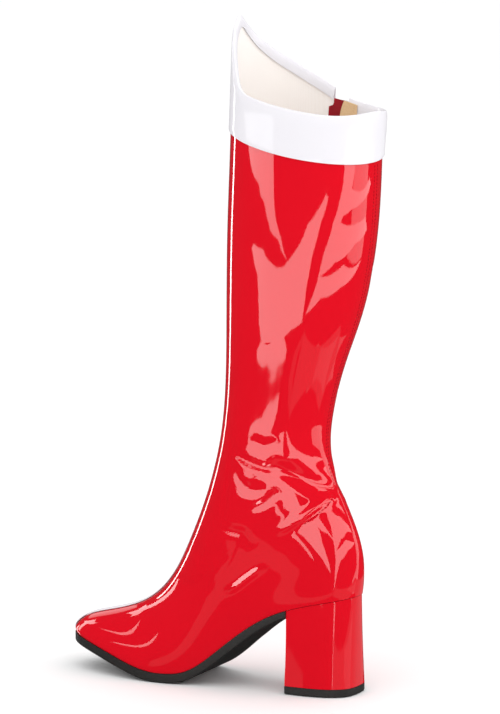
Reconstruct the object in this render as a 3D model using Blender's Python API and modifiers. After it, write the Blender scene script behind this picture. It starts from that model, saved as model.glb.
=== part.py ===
"""Knee-high costume boot for the left foot, as an assembly of separate solids.

Sizes are in millimetres and become metres where points are made.
Frame: toe towards -Y, heel towards +Y, outer side of the foot towards +X, +Z up, floor at Z = 0.
"ahead" is a distance forward of the heel's back, "up" a height above the floor.
"""
import math

import bmesh
import bpy
import numpy as np
from mathutils import Matrix, Vector

# Driving dimensions
MM = 0.001
HEEL_BACK_Y = 110.5
SIDE_SHIFT = 2.2
WALL = 1.8
GAP = 0.3
COLUMNS = 56
CURVED_FROM = 2
CURVED_TO = 12
COLLAR_SHARES = (0.34, 0.67, 1.0)
SHARP_ANGLE = math.radians(40.0)
SMALL_STEP = 0.01
SEARCH_SPAN = math.radians(40.0)
SEARCH_STEPS = 24

# Height of the feather line, where upper and sole meet, and of the sole under it
SOLE_COLUMNS = ("ahead", "feather", "thick")
SOLE_ROWS = (
    (0.0, 76.4, 5.0),
    (25.0, 71.2, 5.0),
    (50.0, 64.2, 5.4),
    (70.0, 55.2, 6.8),
    (90.0, 41.6, 8.2),
    (108.0, 26.6, 8.2),
    (122.0, 15.4, 7.2),
    (134.0, 9.2, 7.0),
    (146.0, 7.2, 7.2),
    (159.0, 7.2, 7.2),
    (172.0, 9.4, 7.2),
    (192.0, 15.2, 7.2),
    (215.0, 21.6, 7.0),
    (238.0, 26.4, 6.8),
)

# Rings of the last, from the feather line up to the foot of the cuff. Each runs from its front point
# over the ridge of the foot or shin to its back point. "arch" is how far it follows the sole's curve,
# "nose" and "tail" blunt its ends below 1, and the rest are half widths, outer then inner side.
RING_COLUMNS = (
    "front_ahead", "front_up", "back_ahead", "back_up", "arch", "nose", "tail",
    "toe_out", "ball_out", "waist_out", "heel_out", "toe_in", "ball_in", "waist_in", "heel_in",
)
RING_ROWS = (
    (238.0, 26.5, 0.0, 76.6, 1.00, 0.70, 0.86, 35.0, 38.5, 28.0, 40.5, 40.0, 41.5, 23.5, 39.5),
    (238.6, 30.6, -1.0, 83.0, 1.00, 0.72, 0.88, 35.3, 38.9, 28.6, 41.2, 40.3, 41.9, 24.2, 40.2),
    (231.5, 37.2, -1.6, 91.5, 1.00, 0.80, 0.90, 35.0, 38.4, 29.4, 40.6, 39.6, 40.9, 25.6, 39.8),
    (218.0, 42.4, -1.4, 101.5, 1.00, 0.88, 0.92, 35.0, 37.2, 30.2, 39.6, 39.0, 39.4, 27.4, 38.9),
    (198.0, 47.9, 0.3, 112.5, 0.97, 0.94, 0.94, 35.2, 36.0, 31.2, 38.4, 38.4, 37.8, 29.2, 37.9),
    (179.0, 56.0, 3.8, 124.0, 0.90, 0.97, 0.96, 35.4, 35.4, 32.2, 37.4, 37.6, 36.6, 30.8, 37.0),
    (164.5, 67.8, 8.6, 135.5, 0.80, 1.00, 0.98, 35.6, 35.2, 33.2, 36.6, 37.0, 36.0, 32.2, 36.4),
    (153.0, 83.5, 14.0, 147.0, 0.66, 1.00, 1.00, 35.8, 35.4, 34.2, 36.2, 36.6, 35.8, 33.4, 36.0),
    (143.5, 102.5, 19.4, 158.5, 0.50, 1.00, 1.00, 36.0, 35.8, 35.0, 36.0, 36.4, 35.8, 34.4, 35.8),
    (134.5, 123.5, 24.0, 170.0, 0.33, 1.00, 1.00, 36.0, 35.8, 35.4, 35.8, 36.0, 35.6, 35.0, 35.6),
    (126.5, 145.0, 26.9, 181.5, 0.18, 1.00, 1.00, 35.6, 35.6, 35.4, 35.4, 35.6, 35.4, 35.2, 35.2),
    (120.0, 167.0, 27.8, 194.0, 0.06, 1.00, 1.00, 35.2, 35.2, 35.2, 35.2, 35.2, 35.2, 35.2, 35.2),
    (114.8, 191.0, 26.6, 208.5, 0.00, 1.00, 1.00, 35.2, 35.2, 35.2, 35.2, 35.2, 35.2, 35.2, 35.2),
    (111.2, 220.0, 22.4, 230.0, 0.00, 1.00, 1.00, 36.8, 36.8, 36.8, 36.8, 36.8, 36.8, 36.8, 36.8),
    (109.4, 256.0, 13.6, 259.0, 0.00, 1.00, 1.00, 40.4, 40.4, 40.4, 40.4, 40.4, 40.4, 40.4, 40.4),
    (108.6, 302.0, 0.8, 296.0, 0.00, 1.00, 1.00, 45.2, 45.2, 45.2, 45.2, 45.2, 45.2, 45.2, 45.2),
    (107.6, 352.0, -8.2, 339.0, 0.00, 1.00, 1.00, 48.6, 48.6, 48.6, 48.6, 48.6, 48.6, 48.6, 48.6),
    (106.0, 393.0, -12.2, 378.0, 0.00, 1.00, 1.00, 49.9, 49.9, 49.9, 49.9, 49.9, 49.9, 49.9, 49.9),
    (104.4, 432.4, -13.8, 414.6, 0.00, 1.00, 1.00, 50.4, 50.4, 50.4, 50.4, 50.4, 50.4, 50.4, 50.4),
)
WIDTH_STATIONS = (0.0, 0.33, 0.62, 1.0)
CUFF_LEVEL = len(RING_ROWS) - 1.0

# Cuff: height of its band, and how its edge rises to the peak, by angle from the front centre,
# positive on the outer side
CUFF_HEIGHT = 37.0
CUFF_LEAN = 0.062
CUFF_FLARE = 0.022
CUFF_THICK = 1.2
CUFF_FACING = 9.0
CUFF_ROUND = 0.5
FACING_THICK = 1.0
PEAK_SOFTNESS = 5.0
PEAK_SAMPLES = 11
PEAK_COLUMNS = ("angle", "rise")
PEAK_ROWS = (
    (-180.0, 2.0),
    (-158.0, -2.5),
    (-128.0, -8.0),
    (-106.0, -10.5),
    (-94.0, -8.5),
    (-80.0, -1.5),
    (-66.0, 4.2),
    (-42.0, 15.8),
    (-24.0, 27.0),
    (3.0, 49.5),
    (22.0, 38.0),
    (34.0, 23.0),
    (44.0, 6.0),
    (54.0, 0.0),
    (130.0, 0.0),
    (168.0, 3.0),
    (180.0, 2.0),
)

# Front stripe
STRIPE_HALF = 4.5
STRIPE_THICK = 0.8
STRIPE_TOE_LEVEL = 0.25
STRIPE_CUFF_GAP = 0.012

# Zip on the inner side: one column of the wall is left open for its chain
ZIP_COLUMN = 41
ZIP_FOOT_LEVEL = 9.0
ZIP_TAPE_HALF = 6.0
ZIP_TAPE_THICK = 0.7
ZIP_CHAIN_RISE = 0.3
ZIP_CHAIN_GAP = 0.45
ZIP_FOOT_GAP = 0.04
ZIP_BELOW_EDGE = 2.5
ZIP_ROW_SPACING = 0.2
ZIP_CUFF_OPENING = 6.6
GUARD_AHEAD = 3.0
GUARD_BEHIND = 11.0
GUARD_THICK = 0.8
GUARD_STEPS = 3
GUARD_FOOT = 0.3
SLIDER_WIDTH = 8.4
SLIDER_LENGTH = 12.0
SLIDER_THICK = 2.2
SLIDER_BELOW_EDGE = 12.0
SLIDER_EDGE = 0.6
LUG_WIDTH = 2.4
LUG_LENGTH = 4.0
LUG_RISE = 3.4
LUG_SINK = 0.4
AXLE_RISE = 2.0
AXLE_RADIUS = 0.6
AXLE_BORE = 0.95
PULL_WIDTH = 6.4
PULL_LENGTH = 24.0
PULL_THICK = 1.2
PULL_NOTCH = 3.6
PULL_HEAD = 1.0
PULL_SIDE_GAP = 0.4
PULL_EDGE = 0.25
ROD_SIDES = 16

# Sole, heel and insole
SOLE_MARGIN = 1.0
SOLE_CHAMFER = 1.0
BREAST_AHEAD = 50.2
SEAT_INSET = 0.5
LIFT_HEIGHT = 6.0
LIFT_HALF_WIDTH = 27.6
LIFT_BACK = 0.6
LIFT_ROUND = 3.0
LIFT_EDGE = 0.5
HEEL_SHARES = (0.0, 0.34, 0.67, 1.0)
HEEL_WAIST = 0.015
INSOLE_THICK = 2.6
INSOLE_INSET = WALL + 0.7
INSOLE_CHAMFER = 0.5

# Colours and finishes, from the photo
FINISHES = {
    "red_patent": ((0.68, 0.006, 0.018, 1.0), 0.12, 0.0),
    "white_patent": ((0.86, 0.85, 0.86, 1.0), 0.25, 0.0),
    "black_rubber": ((0.024, 0.023, 0.021, 1.0), 0.55, 0.0),
    "cream_lining": ((0.84, 0.76, 0.70, 1.0), 0.8, 0.0),
    "tan_lining": ((0.76, 0.52, 0.29, 1.0), 0.7, 0.0),
    "red_tape": ((0.32, 0.004, 0.012, 1.0), 0.75, 0.0),
    "grey_metal": ((0.42, 0.42, 0.43, 1.0), 0.3, 1.0),
}


def natural_spline(knots, values):
    """Second derivatives of the natural cubic through the knots, one column for each value."""
    knots = np.asarray(knots, float)
    values = np.asarray(values, float)
    steps = np.diff(knots)
    slopes = np.diff(values, axis=0) / steps.reshape(-1, *[1] * (values.ndim - 1))
    system = np.eye(len(knots))
    right = np.zeros_like(values)
    for i in range(1, len(knots) - 1):
        system[i, i - 1:i + 2] = (steps[i - 1], 2 * (steps[i - 1] + steps[i]), steps[i])
        right[i] = 6 * (slopes[i] - slopes[i - 1])
    return knots, values, np.linalg.solve(system, right)


def spline_at(spline, x):
    """Value of a natural cubic at x, held straight past its ends."""
    knots, values, bends = spline
    x = min(max(x, knots[0]), knots[-1])
    i = int(min(max(np.searchsorted(knots, x) - 1, 0), len(knots) - 2))
    step = knots[i + 1] - knots[i]
    a = (knots[i + 1] - x) / step
    b = 1 - a
    bend = ((a ** 3 - a) * bends[i] + (b ** 3 - b) * bends[i + 1]) * step * step / 6
    return a * values[i] + b * values[i + 1] + bend


def between(a, b, t):
    return a + (b - a) * t


def by_column(names, rows):
    """Columns of a table by name."""
    return dict(zip(names, np.array(rows).T))


SOLE = by_column(SOLE_COLUMNS, SOLE_ROWS)
PEAK = by_column(PEAK_COLUMNS, PEAK_ROWS)
FEATHER = natural_spline(SOLE["ahead"], SOLE["feather"])
RINGS = natural_spline(np.arange(len(RING_ROWS)), np.array(RING_ROWS))


def feather_height(ahead):
    return float(spline_at(FEATHER, ahead))


def sole_thickness(ahead):
    return float(np.interp(ahead, SOLE["ahead"], SOLE["thick"]))


def ring_at(level):
    return dict(zip(RING_COLUMNS, spline_at(RINGS, level)))


def peak_rise(angle):
    """Height of the cuff's edge over its level band, smoothed between the rows."""
    window = np.linspace(-PEAK_SOFTNESS, PEAK_SOFTNESS, PEAK_SAMPLES)
    return float(np.mean(np.interp(angle + window, PEAK["angle"], PEAK["rise"])))


def ring_point(psi, level):
    """Point of the last, in (side, ahead, up), at angle psi (radians, 0 front, outer side positive)."""
    ring = ring_at(level)
    s = (1 - math.cos(psi)) / 2
    side = "out" if math.sin(psi) >= 0 else "in"
    ahead = between(ring["front_ahead"], ring["back_ahead"], s)
    up = between(ring["front_up"], ring["back_up"], s)
    ends = between(feather_height(ring["front_ahead"]), feather_height(ring["back_ahead"]), s)
    up += ring["arch"] * (feather_height(ahead) - ends)
    widths = [ring[station + "_" + side] for station in ("toe", "ball", "waist", "heel")]
    half = float(spline_at(natural_spline(WIDTH_STATIONS, widths), s))
    blunt = between(ring["nose"], ring["tail"], s)
    half *= abs(math.sin(psi)) ** blunt
    return np.array([math.copysign(half, math.sin(psi)), ahead, up])


def last_point(psi, level):
    """As ring_point, going on past the last ring up the cuff, a level for each cuff height."""
    if level <= CUFF_LEVEL:
        return ring_point(psi, level)
    height = (level - CUFF_LEVEL) * CUFF_HEIGHT
    foot = ring_point(psi, CUFF_LEVEL)
    middle = (RING_ROWS[-1][0] + RING_ROWS[-1][2]) / 2
    outward = np.array([foot[0], foot[1] - middle, 0.0])
    lean = np.array([0.0, -CUFF_LEAN, 1.0])
    return foot + height * lean + height * CUFF_FLARE * outward / np.linalg.norm(outward)


def outward_normal(psi, level):
    around = last_point(psi + SMALL_STEP, level) - last_point(psi - SMALL_STEP, level)
    upward = last_point(psi, level + SMALL_STEP) - last_point(psi, max(level - SMALL_STEP, 0.0))
    normal = np.cross(upward, around)
    return normal / np.linalg.norm(normal)


def to_world(point):
    side, ahead, up = point
    return Vector(((side + SIDE_SHIFT) * MM, (HEEL_BACK_Y - ahead) * MM, up * MM))


def skin_point(psi, level, offset):
    """World point on the last, moved out of it by the offset."""
    point = last_point(psi, level)
    if offset:
        point = point + offset * outward_normal(psi, level)
    return to_world(point)


def column_angle(column):
    turn = 2 * math.pi * column / COLUMNS
    return turn if turn <= math.pi else turn - 2 * math.pi


ANGLES = [column_angle(column) for column in range(COLUMNS)]
ZIP_ANGLE = column_angle(ZIP_COLUMN + 0.5)


def angle_at_arc(psi, level, arc):
    """Angle at the given distance round the ring from psi, found by halving."""
    start = last_point(psi, level)
    low = 0.0
    high = SEARCH_SPAN
    for _ in range(SEARCH_STEPS):
        middle = (low + high) / 2
        reached = np.linalg.norm(last_point(psi + math.copysign(middle, arc), level) - start)
        if reached < abs(arc):
            low = middle
        else:
            high = middle
    return psi + math.copysign(low, arc)


def cuff_top(psi):
    """Height of the cuff's edge over its foot."""
    angle = math.degrees(math.atan2(math.sin(psi), math.cos(psi)))
    return CUFF_HEIGHT + peak_rise(angle)


def cuff_level(height):
    return CUFF_LEVEL + height / CUFF_HEIGHT


def finish(name):
    """Principled material of one named finish."""
    material = bpy.data.materials.get(name) or bpy.data.materials.new(name)
    material.use_nodes = True
    shader = material.node_tree.nodes["Principled BSDF"]
    colour, roughness, metallic = FINISHES[name]
    shader.inputs["Base Color"].default_value = colour
    shader.inputs["Roughness"].default_value = roughness
    shader.inputs["Metallic"].default_value = metallic
    material.diffuse_color = colour
    return material


def add_object(name, mesh, finish_name, collection):
    piece = bpy.data.objects.new(name, mesh)
    collection.objects.link(piece)
    if finish_name:
        mesh.materials.append(finish(finish_name))
    return piece


def mesh_from(shape, name):
    """Mesh of a bmesh, shaded smooth up to its corners."""
    mesh = bpy.data.meshes.new(name)
    shape.to_mesh(mesh)
    shape.free()
    mesh.shade_smooth()
    mesh.set_sharp_from_angle(angle=SHARP_ANGLE)
    return mesh


def loft(name, loops, ladder_end=False):
    """Closed body through loops of equal count. ladder_end closes the last loop in rungs, side to side."""
    shape = bmesh.new()
    rows = [[shape.verts.new(point) for point in loop] for loop in loops]
    count = len(rows[0])
    for lower, upper in zip(rows, rows[1:]):
        for k in range(count):
            n = (k + 1) % count
            shape.faces.new((lower[k], lower[n], upper[n], upper[k]))
    shape.faces.new(rows[0])
    if ladder_end:
        end = rows[-1]
        for k in range((count - 1) // 2):
            rung = [end[k], end[k + 1], end[count - 2 - k], end[count - 1 - k]]
            shape.faces.new(list(dict.fromkeys(rung)))
    else:
        shape.faces.new(rows[-1])
    bmesh.ops.recalc_face_normals(shape, faces=shape.faces)
    return mesh_from(shape, name)


def shaft_levels():
    """Levels of the wall's rows: a row a ring, and one between where the foot curves most."""
    levels = []
    for ring in range(len(RING_ROWS) - 1):
        levels.append(float(ring))
        if CURVED_FROM <= ring < CURVED_TO:
            levels.append(ring + 0.5)
    return levels + [CUFF_LEVEL]


def make_upper(collection):
    """Hollow wall from the feather line to the collar, open at both ends and along the zip."""
    shape = bmesh.new()
    levels = shaft_levels()
    edge = CUFF_THICK + GAP
    rows = [[shape.verts.new(skin_point(psi, level, 0.0)) for psi in ANGLES] for level in levels]
    for share in COLLAR_SHARES:
        heights = [share * (cuff_top(psi) - edge) for psi in ANGLES]
        points = [skin_point(psi, cuff_level(height), 0.0) for psi, height in zip(ANGLES, heights)]
        rows.append([shape.verts.new(point) for point in points])
        levels.append(cuff_level(share * CUFF_HEIGHT))
    for row in range(len(rows) - 1):
        for column in range(COLUMNS):
            if column == ZIP_COLUMN and levels[row] >= ZIP_FOOT_LEVEL:
                continue
            n = (column + 1) % COLUMNS
            shape.faces.new((rows[row][column], rows[row][n], rows[row + 1][n], rows[row + 1][column]))
    piece = add_object("upper", mesh_from(shape, "upper"), "red_patent", collection)
    wall = piece.modifiers.new("wall", "SOLIDIFY")
    wall.thickness = WALL * MM
    wall.offset = -1.0
    wall.use_even_offset = True


def make_cuff(collection):
    """White band on the shaft, turned over the collar's edge into a facing, parted at the zip."""
    start = angle_at_arc(ZIP_ANGLE, CUFF_LEVEL, ZIP_CUFF_OPENING)
    end = angle_at_arc(ZIP_ANGLE, CUFF_LEVEL, -ZIP_CUFF_OPENING) + 2 * math.pi
    full_turn = [column_angle(ZIP_COLUMN) + 2 * math.pi * column / COLUMNS for column in range(COLUMNS)]
    turns = [start] + [psi for psi in full_turn if start < psi < end] + [end]
    outer = GAP + CUFF_THICK
    inner = -WALL - GAP
    facing = inner - FACING_THICK
    loops = []
    for psi in turns:
        top = cuff_top(psi)
        section = (
            (GAP, 0.0),
            (outer, 0.0),
            (outer, top - CUFF_ROUND),
            (outer - CUFF_ROUND, top),
            (facing + CUFF_ROUND, top),
            (facing, top - CUFF_ROUND),
            (facing, top - CUFF_FACING),
            (inner, top - CUFF_FACING),
            (inner, top - CUFF_THICK),
            (GAP, top - CUFF_THICK),
        )
        loops.append([skin_point(psi, cuff_level(height), offset) for offset, height in section])
    add_object("cuff", loft("cuff", loops), "white_patent", collection)


def make_stripe(collection):
    """Narrow strip on the ridge, from the toe to just under the cuff."""
    inner_levels = [level for level in shaft_levels() if STRIPE_TOE_LEVEL < level < CUFF_LEVEL]
    levels = [STRIPE_TOE_LEVEL] + inner_levels + [CUFF_LEVEL - STRIPE_CUFF_GAP]
    arcs = (-STRIPE_HALF, -STRIPE_HALF / 2, 0.0, STRIPE_HALF / 2, STRIPE_HALF)
    loops = []
    for level in levels:
        turns = [angle_at_arc(0.0, level, arc) if arc else 0.0 for arc in arcs]
        under = [skin_point(psi, level, GAP) for psi in turns]
        over = [skin_point(psi, level, GAP + STRIPE_THICK) for psi in reversed(turns)]
        loops.append(under + over)
    add_object("front_stripe", loft("front_stripe", loops), "white_patent", collection)


def zip_levels(foot, top):
    """Levels of the zip's rows, from its foot to a height over the foot of the cuff."""
    middle = [level for level in shaft_levels() if level > foot + ZIP_ROW_SPACING]
    return [foot] + middle + [cuff_level(top * share) for share in COLLAR_SHARES]


def make_zip(collection):
    """Tape behind the wall, with the closed chain standing in the slot."""
    seat = -WALL - GAP
    loops = []
    for level in zip_levels(ZIP_FOOT_LEVEL + ZIP_FOOT_GAP, cuff_top(ZIP_ANGLE) - ZIP_BELOW_EDGE):
        columns = [last_point(ANGLES[ZIP_COLUMN + k], level) for k in (0, 1)]
        chain = np.linalg.norm(columns[1] - columns[0]) / 2 - ZIP_CHAIN_GAP
        section = (
            (-chain, ZIP_CHAIN_RISE),
            (chain, ZIP_CHAIN_RISE),
            (chain, seat),
            (ZIP_TAPE_HALF, seat),
            (ZIP_TAPE_HALF, seat - ZIP_TAPE_THICK),
            (-ZIP_TAPE_HALF, seat - ZIP_TAPE_THICK),
            (-ZIP_TAPE_HALF, seat),
            (-chain, seat),
        )
        turns = [angle_at_arc(ZIP_ANGLE, level, arc) for arc, _ in section]
        loops.append([skin_point(psi, level, offset) for psi, (_, offset) in zip(turns, section)])
    add_object("zip", loft("zip", loops), "red_tape", collection)


def make_guard(collection):
    """Flap inside the shaft that keeps the zip off the leg."""
    arcs = [-GUARD_BEHIND + (GUARD_BEHIND + GUARD_AHEAD) * i / GUARD_STEPS for i in range(GUARD_STEPS + 1)]
    near = -WALL - GAP - FACING_THICK - GAP
    loops = []
    for level in zip_levels(ZIP_FOOT_LEVEL + GUARD_FOOT, cuff_top(ZIP_ANGLE)):
        turns = [angle_at_arc(ZIP_ANGLE, level, arc) for arc in arcs]
        outer = [skin_point(psi, level, near) for psi in turns]
        inner = [skin_point(psi, level, near - GUARD_THICK) for psi in reversed(turns)]
        loops.append(outer + inner)
    add_object("zip_guard", loft("zip_guard", loops), "tan_lining", collection)


def zip_frame(height):
    """Frame on the zip: X along the collar towards the toe, Y up the chain, Z out of the shaft."""
    level = cuff_level(height)
    normal = outward_normal(ZIP_ANGLE, level)
    out = Vector((normal[0], -normal[1], normal[2])).normalized()
    rise = skin_point(ZIP_ANGLE, level + SMALL_STEP, 0.0) - skin_point(ZIP_ANGLE, level, 0.0)
    up = (rise - rise.dot(out) * out).normalized()
    along = up.cross(out)
    turn = Matrix((along, up, out)).transposed().to_4x4()
    return Matrix.Translation(skin_point(ZIP_ANGLE, level, 0.0)) @ turn


def box(name, size, centre):
    """Box mesh with the given size and centre, in millimetres."""
    shape = bmesh.new()
    place = Matrix.Translation(Vector(centre) * MM) @ Matrix.Diagonal((*(Vector(size) * MM), 1.0))
    bmesh.ops.create_cube(shape, size=1.0, matrix=place)
    return mesh_from(shape, name)


def rod(name, radius, length, centre):
    """Round bar along X."""
    shape = bmesh.new()
    place = Matrix.Translation(Vector(centre) * MM) @ Matrix.Rotation(math.pi / 2, 4, "Y")
    bmesh.ops.create_cone(
        shape, cap_ends=True, segments=ROD_SIDES, radius1=radius * MM, radius2=radius * MM,
        depth=length * MM, matrix=place,
    )
    return mesh_from(shape, name)


def combine(piece, tool_mesh, operation, frame, cutters):
    """Boolean of a piece with a tool that lies in the same frame."""
    tool = add_object(tool_mesh.name, tool_mesh, None, cutters)
    tool.matrix_world = frame
    tool.hide_render = True
    tool.display_type = "WIRE"
    step = piece.modifiers.new(tool_mesh.name, "BOOLEAN")
    step.operation = operation
    step.object = tool


def make_slider(collection, cutters, frame):
    """Slider body on the chain, with a bored lug for the pull's axle."""
    floor = ZIP_CHAIN_RISE + GAP
    body_size = (SLIDER_WIDTH, SLIDER_LENGTH, SLIDER_THICK)
    body = box("zip_slider", body_size, (0.0, 0.0, floor + SLIDER_THICK / 2))
    slider = add_object("zip_slider", body, "grey_metal", collection)
    slider.matrix_world = frame
    edge = slider.modifiers.new("edge", "BEVEL")
    edge.width = SLIDER_EDGE * MM
    edge.segments = 2
    root = floor + SLIDER_THICK
    lug_height = LUG_RISE + LUG_SINK
    lug_centre = (0.0, 0.0, root - LUG_SINK + lug_height / 2)
    lug = box("slider_lug", (LUG_WIDTH, LUG_LENGTH, lug_height), lug_centre)
    combine(slider, lug, "UNION", frame, cutters)
    bore = rod("slider_bore", AXLE_BORE, LUG_WIDTH * 3, (0.0, 0.0, root + AXLE_RISE))
    combine(slider, bore, "DIFFERENCE", frame, cutters)


def make_pull(collection, cutters, frame):
    """Pull tab that hangs from the slider, its origin on its axle."""
    axle = Vector((0.0, 0.0, (ZIP_CHAIN_RISE + GAP + SLIDER_THICK + AXLE_RISE) * MM))
    place = frame @ Matrix.Translation(axle)
    centre_y = PULL_HEAD - PULL_LENGTH / 2
    tab = box("zip_pull", (PULL_WIDTH, PULL_LENGTH, PULL_THICK), (0.0, centre_y, 0.0))
    pull = add_object("zip_pull", tab, "grey_metal", collection)
    pull.matrix_world = place
    edge = pull.modifiers.new("edge", "BEVEL")
    edge.width = PULL_EDGE * MM
    edge.segments = 2
    notch_width = LUG_WIDTH + 2 * PULL_SIDE_GAP
    notch_size = (notch_width, PULL_NOTCH * 2, PULL_THICK * 3)
    notch = box("pull_notch", notch_size, (0.0, 0.0, 0.0))
    combine(pull, notch, "DIFFERENCE", place, cutters)
    axle_bar = rod("pull_axle", AXLE_RADIUS, notch_width + PULL_THICK, (0.0, 0.0, 0.0))
    combine(pull, axle_bar, "UNION", place, cutters)


def foot_outline(margin):
    """Plan of the feather line as (side, ahead) by station, outer then inner, grown by the margin."""
    ring = [ring_point(psi, 0.0)[:2] for psi in ANGLES]
    grown = []
    for i, point in enumerate(ring):
        along = ring[(i + 1) % COLUMNS] - ring[i - 1]
        normal = np.array([-along[1], along[0]]) / np.linalg.norm(along)
        grown.append(point + margin * normal)
    half = COLUMNS // 2
    return grown[:half + 1], [grown[-station % COLUMNS] for station in range(half + 1)]


STATIONS = [ring_point(psi, 0.0)[1] for psi in ANGLES[:COLUMNS // 2 + 1]]
SEAT_STATION = next(i for i, ahead in enumerate(STATIONS) if ahead < BREAST_AHEAD)


def breast_point(edge):
    """Point of an outline's edge at the heel's breast."""
    before = edge[SEAT_STATION - 1]
    after = edge[SEAT_STATION]
    return between(before, after, (before[1] - BREAST_AHEAD) / (before[1] - after[1]))


def facet_height(ahead):
    """Feather height along the straight facets between stations."""
    return float(np.interp(ahead, STATIONS[::-1], [feather_height(a) for a in STATIONS[::-1]]))


def cross_section(outer, inner, low, high, chamfer):
    """Loop across the sole from (side, ahead) points of its two edges."""
    middle = (outer + inner) / 2
    across = (outer - inner) / np.linalg.norm(outer - inner)
    low_outer = outer - across * chamfer
    low_inner = inner + across * chamfer
    corners = (
        (outer, high), (middle, high), (inner, high), (inner, low + chamfer),
        (low_inner, low), (middle, low), (low_outer, low), (outer, low + chamfer),
    )
    return [to_world((point[0], point[1], up)) for point, up in corners]


def make_outsole(collection):
    """Sole from toe to heel breast, with flat ground under the ball."""
    outer, inner = foot_outline(SOLE_MARGIN)
    loops = []
    for station in range(1, SEAT_STATION):
        ahead = STATIONS[station]
        high = feather_height(ahead) - GAP / 2
        low = max(0.0, feather_height(ahead) - sole_thickness(ahead))
        loops.append(cross_section(outer[station], inner[station], low, high, SOLE_CHAMFER))
    end = np.array([0.0, GAP / 2])
    high = facet_height(BREAST_AHEAD) - GAP / 2
    low = high - sole_thickness(BREAST_AHEAD)
    ends = (breast_point(outer) + end, breast_point(inner) + end)
    loops.append(cross_section(*ends, low, high, SOLE_CHAMFER))
    add_object("outsole", loft("outsole", loops), "black_rubber", collection)


def make_insole(collection):
    """Board inside the upper, lying on sole and heel seat."""
    outer, inner = foot_outline(-INSOLE_INSET)
    loops = []
    for station in range(1, len(STATIONS) - 1):
        ahead = STATIONS[station]
        low = feather_height(ahead) + GAP / 2
        high = low + INSOLE_THICK
        loops.append(cross_section(outer[station], inner[station], low, high, INSOLE_CHAMFER))
    add_object("insole", loft("insole", loops), "cream_lining", collection)


def lift_outline(grow):
    """D-shaped plan of the heel's foot: straight at the breast, round at the back."""
    reach = BREAST_AHEAD - LIFT_BACK
    seat = [BREAST_AHEAD] + STATIONS[SEAT_STATION:]
    shares = [(BREAST_AHEAD - ahead) / BREAST_AHEAD for ahead in seat]
    edge = []
    for share in shares:
        half = (1 - share ** LIFT_ROUND) ** (1 / LIFT_ROUND) * (LIFT_HALF_WIDTH + grow)
        edge.append(np.array([half, BREAST_AHEAD - share * (reach + grow)]))
    return edge + [point * (-1, 1) for point in edge[-2::-1]]


def make_heel(collection):
    """Covered block from the lift up to the heel seat, a little waisted."""
    outer, inner = foot_outline(-SEAT_INSET)
    rim = [breast_point(outer)] + outer[SEAT_STATION:]
    rim = rim + inner[SEAT_STATION:-1][::-1] + [breast_point(inner)]
    foot = lift_outline(0.0)
    base = LIFT_HEIGHT + GAP
    half = len(rim) // 2
    seat = [BREAST_AHEAD] + STATIONS[SEAT_STATION:]
    heights = [facet_height(ahead) - GAP / 2 for ahead in seat]
    heights = heights + heights[-2::-1]
    centre = np.array([0.0, BREAST_AHEAD / 2])
    loops = []
    for share in HEEL_SHARES:
        pinch = 1 - HEEL_WAIST * 4 * share * (1 - share)
        loop = []
        for k in range(2 * half + 1):
            plan = centre + (between(foot[k], rim[k], share) - centre) * pinch
            plan[1] = min(plan[1], BREAST_AHEAD - GAP / 2)
            loop.append(to_world((plan[0], plan[1], between(base, heights[k], share))))
        loops.append(loop)
    add_object("heel_block", loft("heel_block", loops, ladder_end=True), "red_patent", collection)


def make_lift(collection):
    """Wearing piece under the heel, flat on the floor."""
    levels = ((0.0, -LIFT_EDGE), (LIFT_EDGE, 0.0), (LIFT_HEIGHT, 0.0))
    loops = [[to_world((*point, up)) for point in lift_outline(grow)] for up, grow in levels]
    add_object("top_lift", loft("top_lift", loops), "black_rubber", collection)


def main():
    for old in list(bpy.data.objects):
        bpy.data.objects.remove(old, do_unlink=True)
    boot = bpy.data.collections.new("costume_boot")
    cutters = bpy.data.collections.new("boot_cutters")
    bpy.context.scene.collection.children.link(boot)
    bpy.context.scene.collection.children.link(cutters)
    make_outsole(boot)
    make_lift(boot)
    make_heel(boot)
    make_insole(boot)
    make_upper(boot)
    make_cuff(boot)
    make_stripe(boot)
    make_zip(boot)
    make_guard(boot)
    frame = zip_frame(cuff_top(ZIP_ANGLE) - SLIDER_BELOW_EDGE)
    make_slider(boot, cutters, frame)
    make_pull(boot, cutters, frame)


main()
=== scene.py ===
# %% [markdown]
# A knee-high costume boot in red patent, with a white cuff that rises to a peak at the front.
# The imported CAD model comes in first, as a fixed frame in metres. Everything that follows is laid on
# that frame.

# %% Load the frame
import math

import bmesh
import bpy
import numpy as np
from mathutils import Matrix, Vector


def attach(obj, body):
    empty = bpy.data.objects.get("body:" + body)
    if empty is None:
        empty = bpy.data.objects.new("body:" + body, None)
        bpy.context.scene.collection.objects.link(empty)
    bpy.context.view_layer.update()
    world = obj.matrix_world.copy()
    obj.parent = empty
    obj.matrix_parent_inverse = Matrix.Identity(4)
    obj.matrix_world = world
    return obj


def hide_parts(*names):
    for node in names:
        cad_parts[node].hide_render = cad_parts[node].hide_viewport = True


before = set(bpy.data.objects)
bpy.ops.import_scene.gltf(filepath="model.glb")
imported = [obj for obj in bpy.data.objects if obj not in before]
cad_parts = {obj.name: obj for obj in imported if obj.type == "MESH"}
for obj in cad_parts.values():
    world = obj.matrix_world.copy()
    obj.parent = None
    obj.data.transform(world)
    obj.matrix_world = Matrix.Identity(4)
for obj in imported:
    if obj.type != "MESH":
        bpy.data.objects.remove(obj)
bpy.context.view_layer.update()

MM = 0.001
print("nodes:", ", ".join(sorted(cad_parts)))

# %% [markdown]
# A boot is built on a last, the solid foot that the leather is pulled over. The last here is a stack
# of rings, from the feather line, where upper and sole meet, up to the foot of the cuff. The same
# rings shaped the CAD upper, so a skin that is drawn from them lies exactly where the solid lies.
# "ahead" is forward of the heel's back, "up" is above the floor, both in millimetres.

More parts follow.
